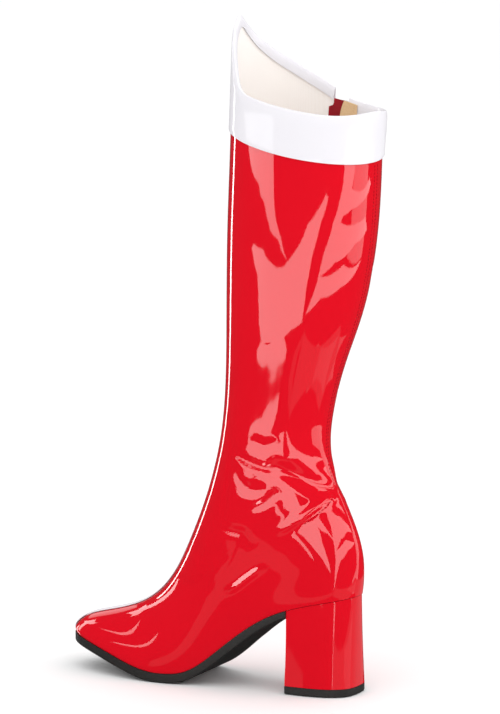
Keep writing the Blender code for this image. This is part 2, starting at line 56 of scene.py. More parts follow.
# %% The last, ring by ring
HEEL_BACK_Y = 110.5
SIDE_SHIFT = 2.2
SOLE_COLUMNS = ("ahead", "feather", "thick")
SOLE_ROWS = (
    (0.0, 76.4, 5.0),
    (25.0, 71.2, 5.0),
    (50.0, 64.2, 5.4),
    (70.0, 55.2, 6.8),
    (90.0, 41.6, 8.2),
    (108.0, 26.6, 8.2),
    (122.0, 15.4, 7.2),
    (134.0, 9.2, 7.0),
    (146.0, 7.2, 7.2),
    (159.0, 7.2, 7.2),
    (172.0, 9.4, 7.2),
    (192.0, 15.2, 7.2),
    (215.0, 21.6, 7.0),
    (238.0, 26.4, 6.8),
)
RING_COLUMNS = (
    "front_ahead", "front_up", "back_ahead", "back_up", "arch", "nose", "tail",
    "toe_out", "ball_out", "waist_out", "heel_out", "toe_in", "ball_in", "waist_in", "heel_in",
)
FOOT_ROWS = (
    (238.0, 26.5, 0.0, 76.6, 1.00, 0.70, 0.86, 35.0, 38.5, 28.0, 40.5, 40.0, 41.5, 23.5, 39.5),
    (238.6, 30.6, -1.0, 83.0, 1.00, 0.72, 0.88, 35.3, 38.9, 28.6, 41.2, 40.3, 41.9, 24.2, 40.2),
    (231.5, 37.2, -1.6, 91.5, 1.00, 0.80, 0.90, 35.0, 38.4, 29.4, 40.6, 39.6, 40.9, 25.6, 39.8),
    (218.0, 42.4, -1.4, 101.5, 1.00, 0.88, 0.92, 35.0, 37.2, 30.2, 39.6, 39.0, 39.4, 27.4, 38.9),
    (198.0, 47.9, 0.3, 112.5, 0.97, 0.94, 0.94, 35.2, 36.0, 31.2, 38.4, 38.4, 37.8, 29.2, 37.9),
    (179.0, 56.0, 3.8, 124.0, 0.90, 0.97, 0.96, 35.4, 35.4, 32.2, 37.4, 37.6, 36.6, 30.8, 37.0),
    (164.5, 67.8, 8.6, 135.5, 0.80, 1.00, 0.98, 35.6, 35.2, 33.2, 36.6, 37.0, 36.0, 32.2, 36.4),
    (153.0, 83.5, 14.0, 147.0, 0.66, 1.00, 1.00, 35.8, 35.4, 34.2, 36.2, 36.6, 35.8, 33.4, 36.0),
    (143.5, 102.5, 19.4, 158.5, 0.50, 1.00, 1.00, 36.0, 35.8, 35.0, 36.0, 36.4, 35.8, 34.4, 35.8),
    (134.5, 123.5, 24.0, 170.0, 0.33, 1.00, 1.00, 36.0, 35.8, 35.4, 35.8, 36.0, 35.6, 35.0, 35.6),
    (126.5, 145.0, 26.9, 181.5, 0.18, 1.00, 1.00, 35.6, 35.6, 35.4, 35.4, 35.6, 35.4, 35.2, 35.2),
)
# Shaft rows: the first five columns as above, then one half width for the whole ring
SHAFT_ROWS = (
    (120.0, 167.0, 27.8, 194.0, 0.06, 35.2),
    (114.8, 191.0, 26.6, 208.5, 0.00, 35.2),
    (111.2, 220.0, 22.4, 230.0, 0.00, 36.8),
    (109.4, 256.0, 13.6, 259.0, 0.00, 40.4),
    (108.6, 302.0, 0.8, 296.0, 0.00, 45.2),
    (107.6, 352.0, -8.2, 339.0, 0.00, 48.6),
    (106.0, 393.0, -12.2, 378.0, 0.00, 49.9),
    (104.4, 432.4, -13.8, 414.6, 0.00, 50.4),
)
RING_ROWS = FOOT_ROWS + tuple(row[:5] + (1.0, 1.0) + row[5:] * 8 for row in SHAFT_ROWS)
WIDTH_NAMES = ("toe", "ball", "waist", "heel")
WIDTH_STATIONS = (0.0, 0.33, 0.62, 1.0)
CUFF_LEVEL = len(RING_ROWS) - 1.0
print(len(RING_ROWS), "rings, the last one at the foot of the cuff")

# %% [markdown]
# Rows of numbers give only a few rings, so natural cubics run through them. A ring's width comes from
# four stations between toe and heel, blended in the same way.

# %% Smooth curves through the rings
def arrays(*values):
    """The values as float arrays of one shape."""
    return np.broadcast_arrays(*(np.asarray(value, float) for value in values))


def held(values):
    """The values kept between 0 and 1."""
    return np.clip(values, 0.0, 1.0)


def unit(vectors):
    """The vectors at length 1."""
    return vectors / np.linalg.norm(vectors, axis=-1, keepdims=True)


def natural_spline(knots, values):
    """Knots, values and second derivatives of the natural cubic through them."""
    knots = np.asarray(knots, float)
    values = np.asarray(values, float)
    steps = np.diff(knots)
    slopes = np.diff(values, axis=0) / steps.reshape(-1, *[1] * (values.ndim - 1))
    system = np.eye(len(knots))
    right = np.zeros_like(values)
    for i in range(1, len(knots) - 1):
        system[i, i - 1:i + 2] = (steps[i - 1], 2 * (steps[i - 1] + steps[i]), steps[i])
        right[i] = 6 * (slopes[i] - slopes[i - 1])
    return knots, values, np.linalg.solve(system, right)


def spline_at(spline, x):
    """Values of a natural cubic at every x, held at its ends."""
    knots, values, bends = spline
    x = np.clip(np.asarray(x, float), knots[0], knots[-1])
    i = np.clip(np.searchsorted(knots, x) - 1, 0, len(knots) - 2)
    step = knots[i + 1] - knots[i]
    a = (knots[i + 1] - x) / step
    if values.ndim == 2:
        a = a[..., None]
        step = step[..., None]
    b = 1 - a
    bend = ((a ** 3 - a) * bends[i] + (b ** 3 - b) * bends[i + 1]) * step * step / 6
    return a * values[i] + b * values[i + 1] + bend


SOLE = dict(zip(SOLE_COLUMNS, np.array(SOLE_ROWS).T))
FEATHER = natural_spline(SOLE["ahead"], SOLE["feather"])
RINGS = natural_spline(np.arange(len(RING_ROWS)), np.array(RING_ROWS))
WIDTHS = natural_spline(WIDTH_STATIONS, np.eye(len(WIDTH_STATIONS)))


def ring_point(psi, level):
    """Points of the last as (side, ahead, up), psi in radians from the front, outer side positive."""
    psi, level = arrays(psi, level)
    ring = dict(zip(RING_COLUMNS, np.moveaxis(spline_at(RINGS, level), -1, 0)))
    share = (1 - np.cos(psi)) / 2
    ahead = ring["front_ahead"] + (ring["back_ahead"] - ring["front_ahead"]) * share
    up = ring["front_up"] + (ring["back_up"] - ring["front_up"]) * share
    front = spline_at(FEATHER, ring["front_ahead"])
    back = spline_at(FEATHER, ring["back_ahead"])
    up = up + ring["arch"] * (spline_at(FEATHER, ahead) - front - (back - front) * share)
    outer = np.sin(psi) >= 0
    weights = np.moveaxis(spline_at(WIDTHS, share), -1, 0)
    half = 0.0
    for name, weight in zip(WIDTH_NAMES, weights):
        half = half + weight * np.where(outer, ring[name + "_out"], ring[name + "_in"])
    blunt = ring["nose"] + (ring["tail"] - ring["nose"]) * share
    half = half * np.abs(np.sin(psi)) ** blunt
    return np.stack([np.where(outer, half, -half), ahead, up], -1)

# %% [markdown]
# The cuff goes on from the top ring: it leans forward a little, flares a little, and its edge rises
# to the peak. Levels past the top ring count cuff heights, so one function serves shaft and cuff.
# A point is moved off the last along the surface's normal, taken from two small steps.

# %% The cuff's edge, and points on the skin
CUFF_HEIGHT = 37.0
CUFF_LEAN = 0.062
CUFF_FLARE = 0.022
PEAK_SOFTNESS = 5.0
PEAK_SAMPLES = 11
PEAK_COLUMNS = ("angle", "rise")
PEAK_ROWS = (
    (-180.0, 2.0),
    (-158.0, -2.5),
    (-128.0, -8.0),
    (-106.0, -10.5),
    (-94.0, -8.5),
    (-80.0, -1.5),
    (-66.0, 4.2),
    (-42.0, 15.8),
    (-24.0, 27.0),
    (3.0, 49.5),
    (22.0, 38.0),
    (34.0, 23.0),
    (44.0, 6.0),
    (54.0, 0.0),
    (130.0, 0.0),
    (168.0, 3.0),
    (180.0, 2.0),
)
PEAK = dict(zip(PEAK_COLUMNS, np.array(PEAK_ROWS).T))
SMALL_STEP = 0.01


def cuff_top(psi):
    """Height of the cuff's edge over its foot, smoothed between the rows."""
    angle = np.degrees(np.arctan2(np.sin(psi), np.cos(psi)))
    window = np.linspace(-PEAK_SOFTNESS, PEAK_SOFTNESS, PEAK_SAMPLES)
    rises = [np.interp(angle + step, PEAK["angle"], PEAK["rise"]) for step in window]
    return CUFF_HEIGHT + np.mean(rises, axis=0)


def cuff_level(height):
    return CUFF_LEVEL + height / CUFF_HEIGHT


def last_point(psi, level):
    """As ring_point, going on past the last ring up the cuff."""
    psi, level = arrays(psi, level)
    foot = ring_point(psi, np.minimum(level, CUFF_LEVEL))
    height = np.maximum(level - CUFF_LEVEL, 0.0)[..., None] * CUFF_HEIGHT
    middle = (RING_ROWS[-1][0] + RING_ROWS[-1][2]) / 2
    outward = unit((foot - (0.0, middle, 0.0)) * (1.0, 1.0, 0.0))
    return foot + height * (np.array([0.0, -CUFF_LEAN, 1.0]) + CUFF_FLARE * outward)


def outward_normal(psi, level):
    around = last_point(psi + SMALL_STEP, level) - last_point(psi - SMALL_STEP, level)
    upward = last_point(psi, level + SMALL_STEP) - last_point(psi, np.maximum(level - SMALL_STEP, 0.0))
    return unit(np.cross(upward, around))


def to_world(points):
    """Metres in the CAD frame, from (side, ahead, up) in millimetres."""
    side, ahead, up = np.moveaxis(np.asarray(points, float), -1, 0)
    return np.stack([side + SIDE_SHIFT, HEEL_BACK_Y - ahead, up], -1) * MM


probe = to_world(last_point(np.array([0.0, math.pi]), np.array([0.0, 0.0])))
print("toe and heel of the feather line in mm:", (probe / MM).round(1).tolist())

# %% [markdown]
# Patent leather creases where the foot bends, and the creases are what its gloss shows. Each one here
# is a path laid on the last, as (angle, level) stops, with a width and a height in
# millimetres: a trough is below the skin, and its shoulders stand up a little beside it. Painting
# them into a bump map would be quicker, but a real dent bends the reflections in the right way.

# %% The creases
# Path, width, height and the shoulder's share of the height
CREASE_ROWS = (
    (((104, 10.7), (128, 9.75), (150, 8.6), (176, 7.7)), 9.0, -1.8, 0.35),
    (((172, 7.75), (145, 7.25), (114, 6.3)), 4.5, 0.8, 0.35),
    (((60, 12.0), (66, 10.5), (72, 8.4)), 3.5, -0.75, 0.4),
    (((64, 11.6), (88, 10.9), (113, 10.2)), 4.0, -1.05, 0.45),
    (((68, 11.0), (80, 10.2), (90, 9.6)), 4.0, -0.95, 0.45),
    (((97, 8.3), (106, 8.4), (118, 8.9)), 4.0, -0.95, 0.45),
    (((72, 8.2), (90, 7.3), (100, 6.0)), 4.5, -0.8, 0.35),
    (((58, 7.0), (70, 6.6)), 3.5, -0.5, 0.4),
    (((62, 6.2), (74, 6.4)), 3.5, -0.5, 0.4),
    (((84, 11.9), (102, 11.5), (116, 11.6)), 6.0, -0.7, 0.3),
    (((80, 9.9), (96, 9.4), (110, 9.0)), 6.0, -0.6, 0.3),
    (((40, 8.2), (58, 7.2), (80, 6.9)), 7.0, -0.8, 0.3),
    (((34, 6.8), (52, 6.2), (74, 5.9)), 7.0, -0.7, 0.3),
    (((86, 4.75), (94, 4.25), (107, 4.5)), 3.6, -0.65, 0.4),
    (((82, 15.25), (92, 15.38), (103, 15.55)), 2.2, -0.25, 0.4),
    (((86, 14.34), (93, 14.38), (99, 14.48)), 2.2, -0.2, 0.4),
    (((-108, 10.5), (-130, 9.7), (-152, 8.6), (-176, 7.7)), 8.0, -1.7, 0.35),
    (((-165, 7.7), (-145, 7.2), (-120, 6.3)), 5.0, -1.0, 0.35),
    (((-58, 9.2), (-74, 8.3), (-90, 7.9)), 7.5, -1.0, 0.3),
    (((-38, 8.2), (-58, 7.1), (-82, 6.8)), 7.5, -0.9, 0.3),
    (((-30, 6.6), (-52, 5.9), (-76, 5.7)), 7.0, -0.8, 0.3),
    (((-110, 13.4), (-132, 13.0), (-152, 13.4)), 12.0, -0.8, 0.3),
    (((-120, 15.8), (-142, 15.4), (-158, 15.9)), 12.0, -0.8, 0.3),
    (((-40, 14.6), (-56, 14.2), (-70, 14.5)), 12.0, -0.6, 0.3),
)
RIPPLE_HEIGHT = 0.006
CREASE_FADE = 0.3
CREASE_END_FADE = 0.6
CREASE_REACH = 3
POINTS_PER_WIDTH = 3
PATH_POINTS = 80
WAVE_TURN = 6.28
RIPPLE_WAVES = ((31.0, 23.0, 41.0, 0.3), (19.0, 37.0, 27.0, 1.9), (47.0, 29.0, 17.0, 4.1))


def path_between(stops, count):
    """Angles in radians and levels at even steps through (angle, level) stops."""
    stops = np.array(stops, float)
    where = np.linspace(0.0, len(stops) - 1.0, count)
    index = np.arange(len(stops))
    return np.radians(np.interp(where, index, stops[:, 0])), np.interp(where, index, stops[:, 1])


def run_along(points):
    """Distance from the first point to each one."""
    return np.concatenate([[0.0], np.cumsum(np.linalg.norm(np.diff(points, axis=0), axis=1))])


def crease_path(path, spacing):
    """Points of a crease on the last, close together, with each one's share of the way."""
    points = last_point(*path_between(path, PATH_POINTS))
    run = run_along(points)
    count = max(int(run[-1] / spacing) + 2, 4)
    even = np.linspace(0.0, run[-1], count)
    points = np.stack([np.interp(even, run, points[:, k]) for k in range(3)], 1)
    return points, even / run[-1]


def relief(points):
    """Height that creases and ripples add to points of the last, in millimetres."""
    total = np.zeros(len(points))
    for path, width, height, shoulder in CREASE_ROWS:
        line, shares = crease_path(path, width / POINTS_PER_WIDTH)
        reach = CREASE_REACH * width
        near = np.all((points > line.min(0) - reach) & (points < line.max(0) + reach), axis=1)
        apart = np.linalg.norm(points[near][:, None, :] - line[None, :, :], axis=2)
        closest = apart.argmin(1)
        q = (apart.min(1) / width) ** 2
        fade = (4 * shares * (1 - shares))[closest] ** CREASE_END_FADE
        total[near] += height * fade * (np.exp(-q) - shoulder * q * np.exp(1 - q))
    for a, b, c, phase in RIPPLE_WAVES:
        side, ahead, up = points.T * WAVE_TURN
        total += RIPPLE_HEIGHT * np.sin(side / a + phase) * np.sin(ahead / b + up / c)
    return total


def skin_point(psi, level, offset=0.0, creased=True):
    """World points on the last, moved out of it by the offset and by the creases."""
    psi, level, offset = arrays(psi, level, offset)
    base = last_point(psi, level)
    rise = offset.copy()
    if creased:
        under_cuff = held((CUFF_LEVEL - level) / CREASE_FADE)
        rise = rise + under_cuff * relief(base.reshape(-1, 3)).reshape(rise.shape)
    return to_world(base + rise[..., None] * outward_normal(psi, level))


print(len(CREASE_ROWS), "creases on the last")

# %% [markdown]
# Sheet goods are cut flat and pulled over the last, and the script does the same: a grid primitive is
# added flat, and a "place" function moves each of its corners, given as two shares from 0 to 1.
# A modifier then gives the sheet its thickness. Everything is deselected first, because an operator
# works on all that is selected.

# %% Helpers for sheets
WELD_DISTANCE = 0.00002
SHEET_ANGLE = 60.0
STRIP_ANGLE = 50.0
SOLID_ANGLE = 45.0


def start_clean():
    if bpy.context.mode != "OBJECT":
        bpy.ops.object.mode_set(mode="OBJECT")
    bpy.ops.object.select_all(action="DESELECT")


def add_object(name, data):
    thing = bpy.data.objects.new(name, data)
    bpy.context.scene.collection.objects.link(thing)
    return thing


def corners(piece):
    """The piece's vertices as an array."""
    flat = np.empty(len(piece.data.vertices) * 3)
    piece.data.vertices.foreach_get("co", flat)
    return flat.reshape(-1, 3)


def move_corners(piece, points):
    piece.data.vertices.foreach_set("co", points.ravel())
    piece.data.update()


def sheet(name, across, along, place):
    """Grid primitive with its corners moved by place(u, v)."""
    start_clean()
    bpy.ops.mesh.primitive_grid_add(x_subdivisions=across, y_subdivisions=along, size=1.0)
    piece = bpy.context.active_object
    piece.name = name
    piece.data.name = name
    flat = corners(piece) + 0.5
    move_corners(piece, place(flat[:, 0], flat[:, 1]))
    return piece


def activate(piece):
    start_clean()
    bpy.context.view_layer.objects.active = piece
    piece.select_set(True)


def edit(piece, select_all=True):
    activate(piece)
    bpy.ops.object.mode_set(mode="EDIT")
    bpy.ops.mesh.select_mode(type="FACE")
    bpy.ops.mesh.select_all(action="SELECT" if select_all else "DESELECT")


def weld(piece):
    """Merges corners that lie together and turns the faces outwards."""
    edit(piece)
    bpy.ops.mesh.remove_doubles(threshold=WELD_DISTANCE)
    bpy.ops.mesh.normals_make_consistent(inside=False)
    bpy.ops.object.mode_set(mode="OBJECT")


def thicken(piece, thickness):
    """Gives a sheet its thickness in millimetres, inwards."""
    activate(piece)
    step = piece.modifiers.new("thickness", "SOLIDIFY")
    step.thickness = thickness * MM
    step.offset = -1.0
    bpy.ops.object.modifier_apply(modifier=step.name)


def shade(piece, angle):
    activate(piece)
    bpy.ops.object.shade_smooth_by_angle(angle=math.radians(angle))


def close_solid(piece, angle):
    """Welds a lofted sheet, fills the open loops at its two ends and smooths it."""
    weld(piece)
    edit(piece, select_all=False)
    bpy.ops.mesh.select_mode(type="EDGE")
    bpy.ops.mesh.select_non_manifold(extend=False)
    bpy.ops.mesh.fill_holes(sides=0)
    bpy.ops.mesh.select_all(action="SELECT")
    bpy.ops.mesh.normals_make_consistent(inside=False)
    shade(piece, angle)


def report(piece):
    triangles = sum(len(face.vertices) - 2 for face in piece.data.polygons)
    print(piece.name, "has", triangles, "triangles")


def settle(piece, body, slot, *nodes):
    """Seats a finished piece on its body and hides the CAD nodes it stands for. The slot is not used."""
    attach(piece, body)
    if nodes:
        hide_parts(*nodes)
    report(piece)

# %% [markdown]
# The upper is one wall from the feather line to the collar. Its outer skin is a sheet that runs once
# round the last, with its seam at the back and a row about every 2 mm. The CAD's slot above the ankle
# is left out for the zip, and the thickness goes inwards.

# %% The patent skin
TURN = 2 * math.pi
SKIN_COLUMNS = 168
SLOT_COLUMNS = (39, 42)
ZIP_FOOT_LEVEL = 9.0
BEND_LEVEL = 12.0
FOOT_SKIN_ROWS = 96
SHAFT_SKIN_ROWS = 96
COLLAR_ROWS = 8
SKIN_THICK = 0.9
COLLAR_EDGE = 1.5
ZIP_ANGLE = -TURN * 14.5 / 56
ZIP_DIP = 7.5
ZIP_DIP_FULLNESS = 1.6
ZIP_DIP_SPREAD = math.radians(12.0)


def wall_level(psi, v, shares, top_gap):
    """Level of a wall's row, the last rows rising with the cuff's edge."""
    foot, bend, top = shares
    level = np.interp(v, (0.0, bend, top), (foot, BEND_LEVEL, CUFF_LEVEL))
    climb = held((v - top) / (1.0 - top))
    return np.where(v > top, cuff_level(climb * (cuff_top(psi) - top_gap)), level)


skin_rows = FOOT_SKIN_ROWS + SHAFT_SKIN_ROWS + COLLAR_ROWS
SKIN_SHARES = (0.0, FOOT_SKIN_ROWS / skin_rows, (FOOT_SKIN_ROWS + SHAFT_SKIN_ROWS) / skin_rows)


def zip_dip(psi):
    """Drop of a wall's edge beside the zip."""
    nearness = np.exp(-((psi - ZIP_ANGLE) / ZIP_DIP_SPREAD) ** 2)
    return ZIP_DIP * held(ZIP_DIP_FULLNESS * nearness)


def place_skin(u, v):
    psi = (u - 0.5) * TURN
    return skin_point(psi, wall_level(psi, v, SKIN_SHARES, COLLAR_EDGE + zip_dip(psi)))


def open_slot(piece, columns, rows, slot, shares):
    """Deletes a wall's faces in the zip's slot, found by their place in the grid."""
    foot, bend, top = shares
    first_row = math.floor(rows * bend * (ZIP_FOOT_LEVEL - foot) / (BEND_LEVEL - foot))
    edit(piece, select_all=False)
    shape = bmesh.from_edit_mesh(piece.data)
    shape.faces.ensure_lookup_table()
    for face in shape.faces:
        row, column = divmod(face.index, columns)
        if slot[0] <= column < slot[1] and row >= first_row:
            face.select_set(True)
    bmesh.update_edit_mesh(piece.data)
    bpy.ops.mesh.delete(type="FACE")
    bpy.ops.object.mode_set(mode="OBJECT")


skin = sheet("upper_skin", SKIN_COLUMNS, skin_rows, place_skin)
open_slot(skin, SKIN_COLUMNS, skin_rows, SLOT_COLUMNS, SKIN_SHARES)
weld(skin)
thicken(skin, SKIN_THICK)
shade(skin, SHEET_ANGLE)
settle(skin, "boot", "red_patent", "upper")

# %% [markdown]
# Inside, a pale lining is glued to the patent. It is a second, coarser sheet behind the first, with
# the same slot, and it stops under the cuff's facing at the collar.

# %% The lining
LINING_COLUMNS = 112
LINING_SLOT = (26, 28)
LINING_ROWS = 120
LINING_THICK = 0.8
LINING_GAP = 0.05
LINING_SHARES = (0.25, 0.5, 0.92)
LINING_BELOW_EDGE = 6.0
LINING_DIP_SHARE = 0.35


def place_lining(u, v):
    psi = (u - 0.5) * TURN
    level = wall_level(psi, v, LINING_SHARES, LINING_BELOW_EDGE + LINING_DIP_SHARE * zip_dip(psi))
    return skin_point(psi, level, -SKIN_THICK - LINING_GAP)


lining = sheet("lining", LINING_COLUMNS, LINING_ROWS, place_lining)
open_slot(lining, LINING_COLUMNS, LINING_ROWS, LINING_SLOT, LINING_SHARES)
weld(lining)
thicken(lining, LINING_THICK)
shade(lining, SHEET_ANGLE)
settle(lining, "boot", "cream_lining")

# %% [markdown]
# The cuff is a band of white patent, folded under at its foot and turned over the collar's edge into
# a narrow facing. A maker pares the leather thin before such a turn, so the section draws in towards
# the edge. It is drawn once as a closed loop of (offset, height) points with round folds, and carried
# round the collar from one side of the zip to the other.

# %% The cuff
GAP = 0.3
WALL = 1.8
CUFF_THICK = 1.2
CUFF_FACING = 9.0
FACING_THICK = 1.0
CUFF_BEAD = 0.2
BEAD_HEIGHT = 1.4
EDGE_OUTER = (GAP + CUFF_THICK, 0.6)
EDGE_OUTER_BACK = (GAP, 0.12)
EDGE_FACING = (-WALL - GAP - FACING_THICK, -1.3)
EDGE_FACING_BACK = (-WALL - GAP, -0.95)
ZIP_CUFF_OPENING = 6.6
CUFF_COLUMNS = 220
FOLD_POINTS = 7
FACE_POINTS = 22
FACE_CROWDING = 0.8
FACING_POINTS = 9
BACK_POINTS = 6
FOLD_DEPTH = 1.0
ARC_LIMIT = math.radians(40.0)
HALVINGS = 24


def angle_at_arc(psi, level, arc):
    """Angle at the given distance round the ring from psi, found by halving."""
    psi, level, arc = arrays(psi, level, arc)
    start = last_point(psi, level)
    low = np.zeros(psi.shape)
    high = np.full(psi.shape, ARC_LIMIT)
    for _ in range(HALVINGS):
        middle = (low + high) / 2
        reached = np.linalg.norm(last_point(psi + np.copysign(middle, arc), level) - start, axis=-1)
        short = reached < np.abs(arc)
        low = np.where(short, middle, low)
        high = np.where(short, high, middle)
    return psi + np.copysign(low, arc) * (arc != 0)


def pared(ends, height, top):
    """Offset that goes from its full value to its thin one over the facing's height."""
    share = held((height - top + CUFF_FACING) / CUFF_FACING) ** 2
    return ends[0] + (ends[1] - ends[0]) * share


def cuff_section(top):
    """Closed loop round the cuff's section, as offsets and heights for each edge height."""
    fold = CUFF_THICK / 2
    roll = (EDGE_OUTER[1] - EDGE_FACING[1]) / 2
    middle = (EDGE_OUTER[1] + EDGE_FACING[1]) / 2
    loop = []
    for turn in np.linspace(math.pi, TURN, FOLD_POINTS):
        loop.append((GAP + fold * (1 + math.cos(turn)), fold * (1 + math.sin(turn))))
    for share in np.linspace(0.0, 1.0, FACE_POINTS)[1:-1] ** FACE_CROWDING:
        height = fold + share * (top - fold - roll)
        bead = CUFF_BEAD * np.exp(-(height / BEAD_HEIGHT - 1) ** 2)
        loop.append((pared(EDGE_OUTER, height, top) + bead, height))
    for turn in np.linspace(0.0, math.pi, FOLD_POINTS):
        loop.append((middle + roll * math.cos(turn), top - roll * (1 - math.sin(turn))))
    runs = (
        (EDGE_FACING, top - roll, top - CUFF_FACING, np.linspace(0.0, 1.0, FACING_POINTS)[1:]),
        (EDGE_FACING_BACK, top - CUFF_FACING, top - FOLD_DEPTH, np.linspace(0.0, 1.0, BACK_POINTS)),
        (EDGE_OUTER_BACK, top - FOLD_DEPTH, top - CUFF_FACING, np.linspace(0.0, 1.0, BACK_POINTS)),
    )
    for ends, start, end, shares in runs:
        for share in shares:
            height = start + share * (end - start)
            loop.append((pared(ends, height, top), height))
    loop.append(loop[0])
    return loop


def place_cuff(u, v):
    start = angle_at_arc(ZIP_ANGLE, CUFF_LEVEL, ZIP_CUFF_OPENING)
    end = angle_at_arc(ZIP_ANGLE, CUFF_LEVEL, -ZIP_CUFF_OPENING) + TURN
    psi = start + u * (end - start)
    loop = cuff_section(cuff_top(psi))
    step = np.round(v * (len(loop) - 1)).astype(int)
    offsets = np.array([np.broadcast_to(offset, psi.shape) for offset, _ in loop])
    heights = np.array([np.broadcast_to(height, psi.shape) for _, height in loop])
    pick = np.arange(len(psi))
    return skin_point(psi, cuff_level(heights[step, pick]), offsets[step, pick], creased=False)


cuff_steps = len(cuff_section(np.array(CUFF_HEIGHT))) - 1
cuff = sheet("cuff_band", CUFF_COLUMNS, cuff_steps, place_cuff)
close_solid(cuff, STRIP_ANGLE)
settle(cuff, "boot", "white_patent", "cuff")

# %% [markdown]
# A narrow white strip runs down the front centre from the cuff to the toe. It is a sheet that takes
# the skin's creases with it, a little higher in its middle than at its edges.

# %% The front strip
STRIPE_HALF = 4.5
STRIPE_THICK = 0.8
STRIPE_TOE_LEVEL = 0.25
TOE_RISE = 0.8
STRIPE_CUFF_GAP = 0.012
STRIPE_ROWS = 240
STRIPE_COLUMNS = 12
STRIPE_CROWN = 0.35
STRIPE_SOLID = 0.6
TOE_RISE_LEVEL = 2.5
TOE_RISE_RUN = 2.0


def place_stripe(u, v):
    level = STRIPE_TOE_LEVEL + v * (CUFF_LEVEL - STRIPE_CUFF_GAP - STRIPE_TOE_LEVEL)
    arc = (u - 0.5) * 2 * STRIPE_HALF
    psi = angle_at_arc(0.0, level, arc)
    crown = 1.0 - STRIPE_CROWN * np.abs(2 * u - 1) ** 4
    over_toe = TOE_RISE * held((TOE_RISE_LEVEL - level) / TOE_RISE_RUN)
    return skin_point(psi, level, GAP + over_toe + STRIPE_THICK * crown)


stripe = sheet("front_strip", STRIPE_COLUMNS, STRIPE_ROWS, place_stripe)
weld(stripe)
thicken(stripe, STRIPE_THICK * STRIPE_SOLID)
shade(stripe, STRIP_ANGLE)
settle(stripe, "boot", "white_patent", "front_stripe")

# %% [markdown]
# The zip is a woven tape behind the slot, and a tan flap inside keeps it off the leg. Both are sheets
# that follow the wall. Under the cuff's facing the tape is wider on its front side, where its raw
# edge shows in the photograph.

# %% The zip's tape and flap
SEAT = -WALL - GAP
ZIP_TAPE_HALF = 6.0
TAPE_SPREAD = 4.0
ZIP_TAPE_THICK = 0.7
ZIP_FOOT_LAP = 0.2
ZIP_BELOW_EDGE = 5.0
GUARD_AHEAD = -0.8
GUARD_BEHIND = 17.0
GUARD_BELOW_EDGE = 4.5
GUARD_ROUND = 3.0
GUARD_THICK = 0.8
GUARD_FOOT = 0.3
GUARD_ROUND_FROM = 0.96
GUARD_GRID = (14, 120)
TAPE_GRID = (18, 200)
TAPE_CLEARANCE = 1.0
TAPE_SPREAD_RUN = 0.06
ZIP_TOP = cuff_top(ZIP_ANGLE)


def zip_level(v, foot, below_edge):
    """Level along the zip, from its foot to a distance under the cuff's edge."""
    return foot + v * (cuff_level(ZIP_TOP - below_edge) - foot)


def place_tape(u, v):
    level = zip_level(v, ZIP_FOOT_LEVEL - ZIP_FOOT_LAP, ZIP_BELOW_EDGE)
    facing_foot = cuff_level(ZIP_TOP - CUFF_FACING - TAPE_CLEARANCE)
    under_facing = held((facing_foot - level) / TAPE_SPREAD_RUN)
    ahead = ZIP_TAPE_HALF + TAPE_SPREAD * under_facing
    psi = angle_at_arc(ZIP_ANGLE, level, -ZIP_TAPE_HALF + u * (ZIP_TAPE_HALF + ahead))
    return skin_point(psi, level, SEAT)


def place_guard(u, v):
    level = zip_level(v, ZIP_FOOT_LEVEL + GUARD_FOOT, GUARD_BELOW_EDGE)
    round_share = held((v - GUARD_ROUND_FROM) / (1 - GUARD_ROUND_FROM))
    rounded = GUARD_ROUND * round_share ** 2
    arc = -GUARD_BEHIND + u * (GUARD_BEHIND + GUARD_AHEAD - rounded)
    psi = angle_at_arc(ZIP_ANGLE, level, arc)
    return skin_point(psi, level, SEAT - FACING_THICK - GAP)


tape = sheet("zip_tape", *TAPE_GRID, place_tape)
thicken(tape, ZIP_TAPE_THICK)
shade(tape, STRIP_ANGLE)
settle(tape, "boot", "red_tape", "zip")
guard = sheet("zip_flap", *GUARD_GRID, place_guard)
thicken(guard, GUARD_THICK)
shade(guard, STRIP_ANGLE)
settle(guard, "boot", "tan_lining", "zip_guard")

# %% [markdown]
# Small things that repeat, such as teeth and stitches, are modelled once and copied. One shape is
# made from a primitive in edit mode, and each copy is turned to lie along its path on the skin.

# %% Copies along a path
FRAME_POINTS = 400


def path_frames(stops, spacing, offset):
    """Evenly spaced places on the skin along a path, as centre, along, across and outward arrays."""
    psi, level = path_between(stops, FRAME_POINTS)
    run = run_along(to_world(last_point(psi, level)))
    even = np.arange(spacing / 2, run[-1] / MM, spacing) * MM
    psi = np.interp(even, run, psi)
    level = np.interp(even, run, level)
    centre = skin_point(psi, level, offset)
    outward = outward_normal(psi, level) * (1.0, -1.0, 1.0)
    along = np.gradient(centre, axis=0)
    along = unit(along - np.sum(along * outward, 1, keepdims=True) * outward)
    return centre, along, np.cross(outward, along), outward


def copies(name, pattern, places):
    """One mesh made of copies of the pattern, its X along the path, Y across and Z outward."""
    shape = corners(pattern)
    faces = [tuple(face.vertices) for face in pattern.data.polygons]
    points = []
    polygons = []
    for centre, along, across, outward in zip(*places):
        start = len(shape) * len(points)
        points.append(centre + shape @ np.array([along, across, outward]))
        polygons.extend(tuple(start + k for k in face) for face in faces)
    mesh = bpy.data.meshes.new(name)
    mesh.from_pydata(np.concatenate(points).tolist(), [], polygons)
    mesh.update()
    row = add_object(name, mesh)
    shade(row, SHEET_ANGLE)
    return row


def drop(pattern):
    bpy.data.objects.remove(pattern, do_unlink=True)

# %% [markdown]
# A zip's teeth are blocks with bevelled edges that step to the left and right in turn.

# %% Zip teeth
TOOTH = (1.1, 2.7, 1.4)
TOOTH_EDGE = 0.3
TOOTH_PITCH = 1.5
TOOTH_SHIFT = 0.5
TOOTH_OFFSET = -0.75
CHAIN_ABOVE_FOOT = 0.2
CHAIN_BELOW_EDGE = 6.0


